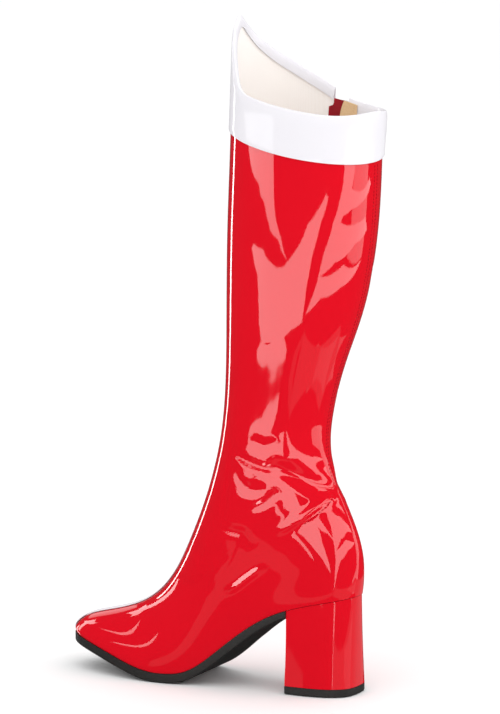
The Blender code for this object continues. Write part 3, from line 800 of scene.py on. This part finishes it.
def resize_active(sizes):
    """Gives the new primitive its sizes in edit mode and stays there."""
    bpy.ops.object.mode_set(mode="EDIT")
    bpy.ops.transform.resize(value=[size * MM for size in sizes])
    return bpy.context.active_object


start_clean()
bpy.ops.mesh.primitive_cube_add(size=1.0)
tooth = resize_active(TOOTH)
bpy.ops.mesh.bevel(offset=TOOTH_EDGE * MM, segments=1, affect="EDGES")
bpy.ops.object.mode_set(mode="OBJECT")
zip_middle = math.degrees(ZIP_ANGLE)
chain_levels = (ZIP_FOOT_LEVEL + CHAIN_ABOVE_FOOT, CUFF_LEVEL, cuff_level(ZIP_TOP - CHAIN_BELOW_EDGE))
chain_path = [(zip_middle, level) for level in chain_levels]
chain = path_frames(chain_path, TOOTH_PITCH, TOOTH_OFFSET)
side_step = np.where(np.arange(len(chain[0])) % 2, TOOTH_SHIFT, -TOOTH_SHIFT)[:, None] * MM
teeth = copies("zip_teeth", tooth, (chain[0] + side_step * chain[2], *chain[1:]))
drop(tooth)
settle(teeth, "boot", "red_tape")

# %% [markdown]
# Stitches close the seam up the back, hold the zip's two edges and edge the stiff counter round the
# heel. A stitch is a short thread that dips at both ends, so its shape is a flattened ball.

# %% Stitches
STITCH = (2.1, 0.6, 0.5)
STITCH_PITCH = 2.8
SLOT_MARGIN = 2.6
BACK_SEAM_ANGLE = 177.5
SEAM_TOP = 17.93
BACK_SEAM_FOOT = 8.2
ZIP_SEAM_FOOT = 9.2
STITCH_OFFSET = 0.08
slot_back, slot_front = (-180.0 + 360.0 * column / SKIN_COLUMNS for column in SLOT_COLUMNS)


def straight_seam(angle, start, end):
    return (angle, start), (angle, end)


STITCH_PATHS = {
    "back_stitches": straight_seam(BACK_SEAM_ANGLE, SEAM_TOP, BACK_SEAM_FOOT),
    "back_stitches_inner": straight_seam(-BACK_SEAM_ANGLE, SEAM_TOP, BACK_SEAM_FOOT),
    "counter_stitches": ((166.0, 7.45), (150.0, 6.95), (132.0, 6.35)),
    "zip_stitches_front": straight_seam(slot_front + SLOT_MARGIN, ZIP_SEAM_FOOT, SEAM_TOP),
    "zip_stitches_back": straight_seam(slot_back - SLOT_MARGIN, ZIP_SEAM_FOOT, SEAM_TOP),
}

start_clean()
bpy.ops.mesh.primitive_uv_sphere_add(segments=8, ring_count=5, radius=0.5)
stitch = resize_active(STITCH)
bpy.ops.object.mode_set(mode="OBJECT")
stitch_rows = []
for name, stops in STITCH_PATHS.items():
    row = copies(name, stitch, path_frames(stops, STITCH_PITCH, STITCH_OFFSET))
    settle(row, "boot", "red_patent")
    stitch_rows.append(row)
drop(stitch)

# %% [markdown]
# Sole, heel and lift follow the CAD's own outlines, with finer rows and rounder edges than the
# solids have. A closed section is carried from toe to heel breast for the sole, and for the heel the
# outline of its foot is carried up to the outline of the heel seat.

# %% The outsole
SOLE_MARGIN = 1.0
SOLE_ROUND = 1.3
BREAST_AHEAD = 50.2
SOLE_STATIONS = 150
ROUND_POINTS = 6
TOE_START = 0.12


def foot_edge(psi, margin):
    """Plan of the feather line as (side, ahead), grown by the margin."""
    point = ring_point(psi, 0.0)[..., :2]
    along = ring_point(psi + SMALL_STEP, 0.0)[..., :2] - ring_point(psi - SMALL_STEP, 0.0)[..., :2]
    normal = np.stack([-along[..., 1], along[..., 0]], -1)
    return point + margin * unit(normal)


def angle_at_ahead(ahead):
    """Angle on the feather line at a distance ahead of the heel's back."""
    front = RING_ROWS[0][0]
    return math.acos(1 - 2 * (front - ahead) / front)


def sole_section():
    """Closed loop across the sole as (share from outer to inner, inset, share of height, lift)."""
    turns = np.linspace(0.0, math.pi / 2, ROUND_POINTS)
    outer = [(0.0, SOLE_ROUND * (1 - math.cos(t)), 0.0, SOLE_ROUND * (1 - math.sin(t))) for t in turns]
    inner = [(1.0, *row[1:]) for row in reversed(outer)]
    top = [(share, 0.0, 1.0, 0.0) for share in (1.0, 0.75, 0.5, 0.25, 0.0)]
    ground = [(share, 0.0, 0.0, 0.0) for share in (0.25, 0.5, 0.75)]
    return [*outer, *ground, *inner, *top, outer[0]]


def place_sole(u, v):
    psi = TOE_START + v * (angle_at_ahead(BREAST_AHEAD) - TOE_START)
    outer = foot_edge(psi, SOLE_MARGIN)
    inner = foot_edge(-psi, SOLE_MARGIN)
    loop = np.array(sole_section())
    share, inset, rise, lift = loop[np.round(u * (len(loop) - 1)).astype(int)].T
    across = inner - outer
    width = np.linalg.norm(across, axis=1)
    inset = np.where(share > 0.5, -inset, inset) / width
    plan = outer + across * (share + inset)[:, None]
    ahead = plan[:, 1]
    high = spline_at(FEATHER, ahead) - GAP / 2
    low = np.maximum(0.0, spline_at(FEATHER, ahead) - np.interp(ahead, SOLE["ahead"], SOLE["thick"]))
    up = low + rise * (high - low) + lift
    return to_world(np.stack([plan[:, 0], ahead, up], 1))


sole = sheet("sole_unit", len(sole_section()) - 1, SOLE_STATIONS, place_sole)
close_solid(sole, SOLID_ANGLE)
settle(sole, "boot", "black_rubber", "outsole")

# %% [markdown]
# The heel's outline goes round the back and then straight along the breast, the face below the arch.
# It is a little slimmer at half height, and the lift under it has a rounded lower edge.

# %% The heel and its lift
SEAT_INSET = 0.5
LIFT_HEIGHT = 6.0
LIFT_HALF_WIDTH = 27.6
LIFT_BACK = 0.6
LIFT_POWER = 3.0
LIFT_EDGE = 0.7
HEEL_WAIST = 0.015
HEEL_AROUND = 96
HEEL_ROWS = 30
LIFT_ROWS = 18
HEEL_CENTRE = np.array([0.0, BREAST_AHEAD / 2])
ROUND_SHARE = 0.8


def heel_plans(u):
    """Outlines of heel seat and heel foot, round the back and then straight along the breast."""
    breast = angle_at_ahead(BREAST_AHEAD)
    round_share = held(u / ROUND_SHARE)
    psi = breast + round_share * (TURN - 2 * breast)
    rim = foot_edge(psi, -SEAT_INSET)
    back = (BREAST_AHEAD - ring_point(psi, 0.0)[..., 1]) / BREAST_AHEAD
    half = held(1 - back ** LIFT_POWER) ** (1 / LIFT_POWER) * LIFT_HALF_WIDTH
    side = np.where(psi <= math.pi, half, -half)
    foot = np.stack([side, BREAST_AHEAD - back * (BREAST_AHEAD - LIFT_BACK)], -1)
    across = held((u - ROUND_SHARE) / (1 - ROUND_SHARE))[..., None]
    ends = [foot_edge(np.array(angle), -SEAT_INSET) for angle in (TURN - breast, breast)]
    rim = rim + across * (ends[1] - ends[0])
    foot = foot + across * np.array([2 * LIFT_HALF_WIDTH, 0.0])
    return rim, foot


def place_heel(u, v):
    rim, foot = heel_plans(u)
    pinch = 1 - HEEL_WAIST * 4 * v * (1 - v)
    plan = HEEL_CENTRE + (foot + (rim - foot) * v[:, None] - HEEL_CENTRE) * pinch[:, None]
    plan[:, 1] = np.minimum(plan[:, 1], BREAST_AHEAD - GAP / 2)
    base = LIFT_HEIGHT + GAP
    top = spline_at(FEATHER, rim[:, 1]) - GAP / 2
    return to_world(np.stack([plan[:, 0], plan[:, 1], base + (top - base) * v], 1))


def place_lift(u, v):
    foot = heel_plans(u)[1]
    drawn_in = LIFT_EDGE * held(1 - v * LIFT_HEIGHT / LIFT_EDGE) ** 2
    plan = HEEL_CENTRE + (foot - HEEL_CENTRE) * (1 - drawn_in / LIFT_HALF_WIDTH)[:, None]
    return to_world(np.stack([plan[:, 0], plan[:, 1], v * LIFT_HEIGHT], 1))


heel = sheet("heel_cover", HEEL_AROUND, HEEL_ROWS, place_heel)
lift = sheet("heel_lift", HEEL_AROUND, LIFT_ROWS, place_lift)
for piece, slot, node in ((heel, "red_patent", "heel_block"), (lift, "black_rubber", "top_lift")):
    close_solid(piece, SOLID_ANGLE)
    settle(piece, "boot", slot, node)

# %% [markdown]
# The photograph looks at the outer side of the boot from a little behind, through a long lens, on
# white. A long lens far away keeps the lines as parallel as they are there.

# %% Camera
CAMERA_TURN = 27.0
CAMERA_LIFT = 12.5
CAMERA_DISTANCE = 20.0
PIXELS_PER_MM = 1.32
IMAGE_HEIGHT = 714
AIM = Vector((0.0150, 0.0237, 0.2553))
SENSOR_HEIGHT = 24.0
VIEW_END = 100.0


def around(turn_left, lift):
    """Direction from the boot, turned to the left of the camera and lifted from the horizon."""
    flat = math.radians(CAMERA_TURN - turn_left)
    high = math.radians(lift)
    return Vector((math.cos(flat) * math.cos(high), math.sin(flat) * math.cos(high), math.sin(high)))


camera_data = bpy.data.cameras.new("camera")
camera = add_object("camera", camera_data)
view = around(0.0, CAMERA_LIFT)
camera.location = AIM + CAMERA_DISTANCE * view
camera.rotation_euler = view.to_track_quat("Z", "Y").to_euler()
camera_data.sensor_fit = "VERTICAL"
camera_data.sensor_height = SENSOR_HEIGHT
frame_height = IMAGE_HEIGHT / PIXELS_PER_MM * MM
camera_data.lens = SENSOR_HEIGHT * CAMERA_DISTANCE / frame_height
camera_data.clip_end = VIEW_END
bpy.context.scene.camera = camera
bpy.context.scene.view_settings.view_transform = "Standard"
print("camera at", [round(v, 2) for v in camera.location], "lens", round(camera_data.lens))

# %% [markdown]
# Patent is a mirror, so the studio is arranged in two parts. Large, even fills light the colours and
# aren't seen in the gloss. White cards, in the next cells, are seen only there. A narrow spot reaches
# into the collar, where the fills don't.

# %% Fills
# Name, turn to the left, lift, distance, width, height and glow
FILLS = (
    ("top_fill", 0.0, 84.0, 3.0, 4.0, 4.0, 0.55),
    ("front_fill", 10.0, 38.0, 3.0, 2.0, 1.6, 0.6),
    ("right_fill", -75.0, 25.0, 2.4, 1.2, 1.6, 1.5),
)
FILL_AIM = Vector((0.0, 0.02, 0.25))
SPOT_AIM = Vector((-0.02, 0.0, 0.46))
SPOT_DIRECTION = (-15.0, 35.0)
SPOT_DISTANCE = 3.0
SPOT_POWER = 400.0
SPOT_CONE = 4.2
SPOT_RADIUS = 0.3


def hang(name, light, aim, toward, distance):
    """Places a light that faces its aim and isn't mirrored in the gloss."""
    lamp = add_object(name, light)
    lamp.location = aim + distance * toward
    lamp.rotation_euler = toward.to_track_quat("Z", "Y").to_euler()
    lamp.visible_glossy = False
    return lamp


def soft_panel(name, turn_left, lift, distance, width, height, glow):
    """Rectangular light, its glow being the brightness that a mirror would show."""
    light = bpy.data.lights.new(name, "AREA")
    light.shape = "RECTANGLE"
    light.size = width
    light.size_y = height
    light.energy = glow * math.pi * width * height
    panel = hang(name, light, FILL_AIM, around(turn_left, lift), distance)
    panel.visible_camera = False


for row in FILLS:
    soft_panel(*row)
opening = bpy.data.lights.new("opening_spot", "SPOT")
opening.energy = SPOT_POWER
opening.spot_size = math.radians(SPOT_CONE)
opening.spot_blend = 1.0
opening.shadow_soft_size = SPOT_RADIUS
hang("opening_spot", opening, SPOT_AIM, around(*SPOT_DIRECTION), SPOT_DISTANCE)
print(len(FILLS), "fills and a spot for the opening")

# %% [markdown]
# Each bright patch in the photograph is the image of something white beside the boot. The outline of
# a patch is marked on the last, the view is mirrored there, and where it lands on an upright plane
# close by is the outline of a card. Standing close, a card shows mainly in the part of the boot it was
# drawn from, as a photographer's reflector does. The heel's cards are given by turn and height, and
# the far ones, for rim and toe, by their direction alone.

# %% Outlines of the cards
FAR_DISTANCE = 30.0
HEEL_DISTANCE = 0.4
# Name, glow, distance and outline as (angle, level) marks, some with degrees that raise them
MARKED_CARDS = (
    ("left_card", 4.0, 0.4, (
        (59, 18.0, 3), (67, 17.7), (75, 17.35), (81, 17.0), (87, 16.5), (94, 16.3), (102, 15.95),
        (95, 16.45), (91, 16.75), (89, 17.2), (86, 18.0, 8),
    )),
    ("main_card", 4.2, 0.4, (
        (129, 17.4), (131, 17.35), (126, 16.8), (121, 16.1), (119, 15.5), (119, 14.9), (111, 14.75),
        (106, 14.6), (110, 14.35), (110, 14.1), (105, 13.95), (94, 13.97), (83, 14.1), (82, 14.3),
        (86, 14.45), (82, 14.8), (81, 15.05), (78, 15.6), (71, 16.05), (73, 16.15), (82, 16.05),
        (88, 15.9), (94, 15.8), (100, 15.85), (107, 16.1), (116, 16.7), (123, 17.05),
    )),
    ("right_card", 4.0, 0.4, (
        (146, 18.0, 8), (156, 18.0, 8), (151, 17.5), (170, 17.75), (172, 17.6), (161, 17.2),
        (152, 17.1), (144, 16.95), (142, 16.8), (150, 16.75), (158, 16.8), (167, 16.9), (170, 16.65),
        (157, 16.35), (140, 16.0), (129, 15.75), (139, 15.8), (148, 15.95), (167, 16.05),
        (163, 15.85), (148, 15.55), (132, 15.35), (121, 15.05), (127, 15.65), (130, 16.15),
        (136, 16.8), (142, 17.5),
    )),
    ("low_right_card", 0.8, 0.4, (
        (130, 14.1), (142, 14.15), (169, 13.5), (158, 13.15), (138, 13.3), (123, 13.85),
    )),
)
# Name, glow and outline as (turn, height in metres)
HEEL_CARDS = (
    ("heel_left", 0.35, (
        (58, -0.075), (58, -0.003), (45, -0.003), (45, -0.023), (35, -0.023), (35, -0.036),
        (-9, -0.036), (-9, -0.075),
    )),
    ("heel_right", 0.45, ((-9, -0.075), (-9, -0.003), (-75, -0.003), (-75, -0.075))),
    ("heel_back", 0.45, ((-75, -0.075), (-75, -0.003), (-140, -0.003), (-140, -0.075))),
)
# Name, glow and outline as (turn, lift)
FAR_CARDS = (
    ("rim_card", 9.0, ((136, -40), (136, 16), (141, 16), (141, -40))),
    ("ankle_back", 2.2, (
        (-60, -24), (-62, -15), (-84, -8), (-92, 2), (-100, 12), (-125, 14), (-118, 2), (-104, -6),
        (-98, -14), (-97, -22),
    )),
    ("burst_card", 9.0, ((20, -33), (45, -33), (45, -46), (20, -46))),
    ("toe_card", 5.0, ((117, 5), (126, 5), (136, 30), (138, 40), (128, 40), (121, 18))),
    ("toe_dot", 5.0, ((143, 24), (134, 36), (120, 42), (118, 36), (128, 28))),
    ("ridge_card", 1.3, ((174, 8), (174, 22), (164, 36), (152, 38), (149, 28), (162, 18))),
)
print(len(MARKED_CARDS), "marked cards,", len(HEEL_CARDS), "heel cards and", len(FAR_CARDS), "far cards")

# %% [markdown]
# A card is a flat polygon that glows evenly. The camera doesn't see it, it casts no shadow and doesn't
# light the colours: only the gloss mirrors it.

# %% Cards that the gloss mirrors
VIEW = np.array(around(0.0, CAMERA_LIFT))


def level_mean(directions):
    """Mean of the directions, laid level and of length 1."""
    return unit(np.mean(directions, axis=0) * (1.0, 1.0, 0.0))


def marked_corners(distance, marks):
    """Corners of a close card, where the view lands that the marks on the last mirror."""
    angles, levels, raised = np.array([(*mark, 0.0)[:3] for mark in marks], float).T
    psi = np.radians(angles)
    normal = outward_normal(psi, levels) * (1.0, -1.0, 1.0)
    directions = 2 * (normal @ VIEW)[:, None] * normal - VIEW
    directions[:, 2] += np.tan(np.radians(raised))
    starts = to_world(last_point(psi, levels))
    facing = level_mean(directions)
    reach = (distance - starts @ facing) / (directions @ facing)
    return starts + reach[:, None] * directions


def heel_corners(turns):
    """Corners of a close card by turn and height."""
    directions = np.array([around(turn, 0.0) for turn, _ in turns])
    places = HEEL_DISTANCE * directions / (directions @ level_mean(directions))[:, None]
    places[:, 2] = [height for _, height in turns]
    return places


def far_corners(turns):
    """Corners of a far card that stands square to the mean of its directions."""
    directions = np.array([around(*turn) for turn in turns])
    middle = unit(directions.mean(0))
    return FAR_DISTANCE * directions / (directions @ middle)[:, None]


def card_light(name, glow):
    """Even glow of a white card."""
    material = bpy.data.materials.new(name)
    material.use_nodes = True
    tree = material.node_tree
    tree.nodes.remove(tree.nodes["Principled BSDF"])
    lamp = tree.nodes.new("ShaderNodeEmission")
    lamp.inputs["Strength"].default_value = glow
    tree.links.new(lamp.outputs["Emission"], tree.nodes["Material Output"].inputs["Surface"])
    return material


def gloss_card(name, glow, corner_points):
    """Flat card that only the gloss sees."""
    start_clean()
    bpy.ops.mesh.primitive_circle_add(vertices=len(corner_points), fill_type="NGON")
    card = bpy.context.active_object
    card.name = name
    move_corners(card, corner_points)
    card.data.materials.append(card_light(name, glow))
    card.visible_camera = False
    card.visible_diffuse = False
    card.visible_shadow = False


for name, glow, distance, marks in MARKED_CARDS:
    gloss_card(name, glow, marked_corners(distance, marks))
for name, glow, turns in HEEL_CARDS:
    gloss_card(name, glow, heel_corners(turns))
for name, glow, turns in FAR_CARDS:
    gloss_card(name, glow, far_corners(turns))
print("cards are staged round the boot")

# %% [markdown]
# The boot stands on white paper before a white backdrop. In the gloss the backdrop is nearly dark, so
# that the cards stand out there.

# %% Floor and backdrop
FLOOR_SIZE = 30.0
FLOOR_HEIGHT = -0.0004
MIRRORED_BACKDROP = 0.06
start_clean()
bpy.ops.mesh.primitive_plane_add(size=FLOOR_SIZE, location=(0.0, 0.0, FLOOR_HEIGHT))
floor = bpy.context.active_object
floor.name = "floor"
floor.visible_glossy = False
world = bpy.data.worlds.new("studio")
bpy.context.scene.world = world
world.use_nodes = True
nodes = world.node_tree.nodes
links = world.node_tree.links
backdrop = nodes["Background"]
backdrop.inputs["Strength"].default_value = 1.0
dim = nodes.new("ShaderNodeBackground")
for side in (backdrop, dim):
    side.inputs["Color"].default_value = (1.0, 1.0, 1.0, 1.0)
dim.inputs["Strength"].default_value = MIRRORED_BACKDROP
mix = nodes.new("ShaderNodeMixShader")
path = nodes.new("ShaderNodeLightPath")
links.new(path.outputs["Is Glossy Ray"], mix.inputs["Fac"])
links.new(backdrop.outputs["Background"], mix.inputs[1])
links.new(dim.outputs["Background"], mix.inputs[2])
links.new(mix.outputs["Shader"], nodes["World Output"].inputs["Surface"])
print("floor", FLOOR_SIZE, "m wide")

# %% [markdown]
# Every finish is built from a few shared effects. An effect is a small node group with named sockets:
# a film of lacquer with faint waves, a woven cloth, a pebbled surface and scuffs that dull the
# gloss. Each takes a scale and reads the piece's own coordinates; the first three give a height and a
# shade, the scuffs a wear.

# %% Shared effects
SURFACE = ("Height", "Shade")
WAVE_DETAIL = 1.0
CLOUD_DETAIL = 3.0
SCUFF_DETAIL = 6.0
SCUFF_CONTRAST = 6.0
THREAD_DISTORTION = 1.5


def new_group(name, inputs, outputs=SURFACE):
    """Empty node group with float sockets, given as names with defaults."""
    group = bpy.data.node_groups.new(name, "ShaderNodeTree")
    for socket, value in inputs.items():
        knob = group.interface.new_socket(socket, in_out="INPUT", socket_type="NodeSocketFloat")
        knob.default_value = value
    for socket in outputs:
        group.interface.new_socket(socket, in_out="OUTPUT", socket_type="NodeSocketFloat")
    start = group.nodes.new("NodeGroupInput")
    end = group.nodes.new("NodeGroupOutput")
    coordinates = group.nodes.new("ShaderNodeTexCoord")
    return group, start.outputs, end.inputs, coordinates.outputs["Object"]


def shade_math(tree, operation, first, second=None):
    """Math node that takes links or plain numbers."""
    node = tree.nodes.new("ShaderNodeMath")
    node.operation = operation
    for socket, value in zip(node.inputs, (first, second)):
        if isinstance(value, (int, float)):
            socket.default_value = value
        elif value is not None:
            tree.links.new(value, socket)
    return node.outputs["Value"]


def add_noise(tree, vector, scale, detail):
    noise = tree.nodes.new("ShaderNodeTexNoise")
    noise.inputs["Detail"].default_value = detail
    tree.links.new(vector, noise.inputs["Vector"])
    tree.links.new(scale, noise.inputs["Scale"])
    return noise.outputs["Fac"]


def make_film():
    """Lacquer: slow waves for the height and faint clouds for the shade."""
    group, start, end, place = new_group("lacquer_film", {"Waves": 90.0, "Clouds": 14.0})
    group.links.new(add_noise(group, place, start["Waves"], WAVE_DETAIL), end["Height"])
    group.links.new(add_noise(group, place, start["Clouds"], CLOUD_DETAIL), end["Shade"])
    return group


def make_weave():
    """Cloth: two sets of bands across each other."""
    group, start, end, place = new_group("woven_cloth", {"Threads": 500.0})
    bands = []
    for direction in ("X", "Z"):
        wave = group.nodes.new("ShaderNodeTexWave")
        wave.bands_direction = direction
        wave.inputs["Distortion"].default_value = THREAD_DISTORTION
        group.links.new(place, wave.inputs["Vector"])
        group.links.new(start["Threads"], wave.inputs["Scale"])
        bands.append(wave.outputs["Fac"])
    cloth = shade_math(group, "MULTIPLY", *bands)
    group.links.new(cloth, end["Height"])
    group.links.new(cloth, end["Shade"])
    return group


def make_pebble():
    """Grain: rounded cells with darker joints."""
    group, start, end, place = new_group("pebble_grain", {"Cells": 700.0})
    cells = group.nodes.new("ShaderNodeTexVoronoi")
    group.links.new(place, cells.inputs["Vector"])
    group.links.new(start["Cells"], cells.inputs["Scale"])
    group.links.new(shade_math(group, "SUBTRACT", 1.0, cells.outputs["Distance"]), end["Height"])
    group.links.new(cells.outputs["Distance"], end["Shade"])
    return group


def make_scuffs():
    """Wear: sparse patches, 0 where the surface is whole."""
    group, start, end, place = new_group("light_scuffs", {"Spread": 45.0, "Amount": 0.62}, ("Wear",))
    clouds = add_noise(group, place, start["Spread"], SCUFF_DETAIL)
    over = shade_math(group, "SUBTRACT", clouds, start["Amount"])
    worn = shade_math(group, "MAXIMUM", shade_math(group, "MULTIPLY", over, SCUFF_CONTRAST), 0.0)
    group.links.new(shade_math(group, "MINIMUM", worn, 1.0), end["Wear"])
    return group


EFFECTS = {"film": make_film(), "weave": make_weave(), "pebble": make_pebble(), "scuffs": make_scuffs()}
print("effects:", ", ".join(EFFECTS))

# %% [markdown]
# A finish mixes two close colours by its effect's shade, bumps the surface by its height, and lets
# the scuffs dull the gloss. Patent adds a clear coat, which is the film of lacquer on the leather.

# %% Finishes
# Name, effect, scale, colour, shaded colour, roughness, coat, metallic and bump
FINISH_ROWS = (
    ("red_patent", "film", 60.0, (0.71, 0.004, 0.014), (0.64, 0.003, 0.012), 0.4, 1.0, 0.0, 0.02),
    ("white_patent", "film", 60.0, (0.80, 0.785, 0.82), (0.75, 0.735, 0.775), 0.4, 0.4, 0.0, 0.02),
    ("black_rubber", "pebble", 900.0, (0.026, 0.025, 0.023), (0.018, 0.017, 0.016), 0.5, 0.0, 0.0, 0.15),
    ("cream_lining", "weave", 420.0, (0.98, 0.935, 0.90), (0.95, 0.895, 0.85), 0.8, 0.0, 0.0, 0.15),
    ("tan_lining", "pebble", 1100.0, (0.80, 0.56, 0.32), (0.70, 0.46, 0.25), 0.6, 0.0, 0.0, 0.12),
    ("red_tape", "weave", 650.0, (0.34, 0.005, 0.014), (0.22, 0.003, 0.009), 0.75, 0.0, 0.0, 0.25),
    ("red_thread", "weave", 900.0, (0.42, 0.004, 0.012), (0.24, 0.002, 0.008), 0.6, 0.2, 0.0, 0.2),
    ("grey_metal", "film", 300.0, (0.62, 0.62, 0.64), (0.50, 0.50, 0.52), 0.3, 0.0, 0.6, 0.03),
    ("white_paper", "film", 40.0, (0.92, 0.92, 0.92), (0.90, 0.90, 0.90), 0.9, 0.0, 0.0, 0.02),
)
SCALE_SOCKETS = {"film": "Waves", "weave": "Threads", "pebble": "Cells"}
COAT_ROUGHNESS = 0.035
WORN_ROUGHNESS = 0.12
BUMP_DISTANCE = 0.0004
PLAIN_SPECULAR = 0.3


def use_effect(tree, effect):
    node = tree.nodes.new("ShaderNodeGroup")
    node.node_tree = EFFECTS[effect]
    return node


def finish(name, effect, scale, colour, shaded, roughness, coat, metallic, bump):
    """Material of one finish, on the Principled shader."""
    material = bpy.data.materials.new(name)
    material.use_nodes = True
    tree = material.node_tree
    shader = tree.nodes["Principled BSDF"]
    shader.inputs["Metallic"].default_value = metallic
    shader.inputs["Coat Weight"].default_value = coat
    shader.inputs["Coat Roughness"].default_value = COAT_ROUGHNESS
    mirrors = not coat and name != "white_paper"
    shader.inputs["Specular IOR Level"].default_value = PLAIN_SPECULAR if mirrors else 0.0
    surface = use_effect(tree, effect)
    surface.inputs[SCALE_SOCKETS[effect]].default_value = scale
    wear = use_effect(tree, "scuffs")
    blend = tree.nodes.new("ShaderNodeMix")
    blend.data_type = "RGBA"
    blend.inputs["A"].default_value = (*colour, 1.0)
    blend.inputs["B"].default_value = (*shaded, 1.0)
    tree.links.new(surface.outputs["Shade"], blend.inputs["Factor"])
    tree.links.new(blend.outputs["Result"], shader.inputs["Base Color"])
    dull = shade_math(tree, "MULTIPLY", wear.outputs["Wear"], WORN_ROUGHNESS)
    tree.links.new(shade_math(tree, "ADD", dull, roughness), shader.inputs["Roughness"])
    dents = tree.nodes.new("ShaderNodeBump")
    dents.inputs["Strength"].default_value = bump
    dents.inputs["Distance"].default_value = BUMP_DISTANCE
    tree.links.new(surface.outputs["Height"], dents.inputs["Height"])
    tree.links.new(dents.outputs["Normal"], shader.inputs["Normal"])
    if coat:
        tree.links.new(dents.outputs["Normal"], shader.inputs["Coat Normal"])
    return material


def dress(piece, material):
    piece.data.materials.clear()
    piece.data.materials.append(material)


FINISHES = {row[0]: finish(*row) for row in FINISH_ROWS}
DRESSED = (
    ("red_patent", (skin, heel)),
    ("white_patent", (cuff, stripe)),
    ("cream_lining", (lining,)),
    ("tan_lining", (guard,)),
    ("red_tape", (tape, teeth)),
    ("black_rubber", (sole, lift)),
    ("red_thread", stitch_rows),
    ("white_paper", (floor,)),
)
for name, pieces in DRESSED:
    for piece in pieces:
        dress(piece, FINISHES[name])
for node, name in (("insole", "cream_lining"), ("zip_slider", "grey_metal"), ("zip_pull", "grey_metal")):
    dress(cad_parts[node], FINISHES[name])
print(len(FINISHES), "finishes")
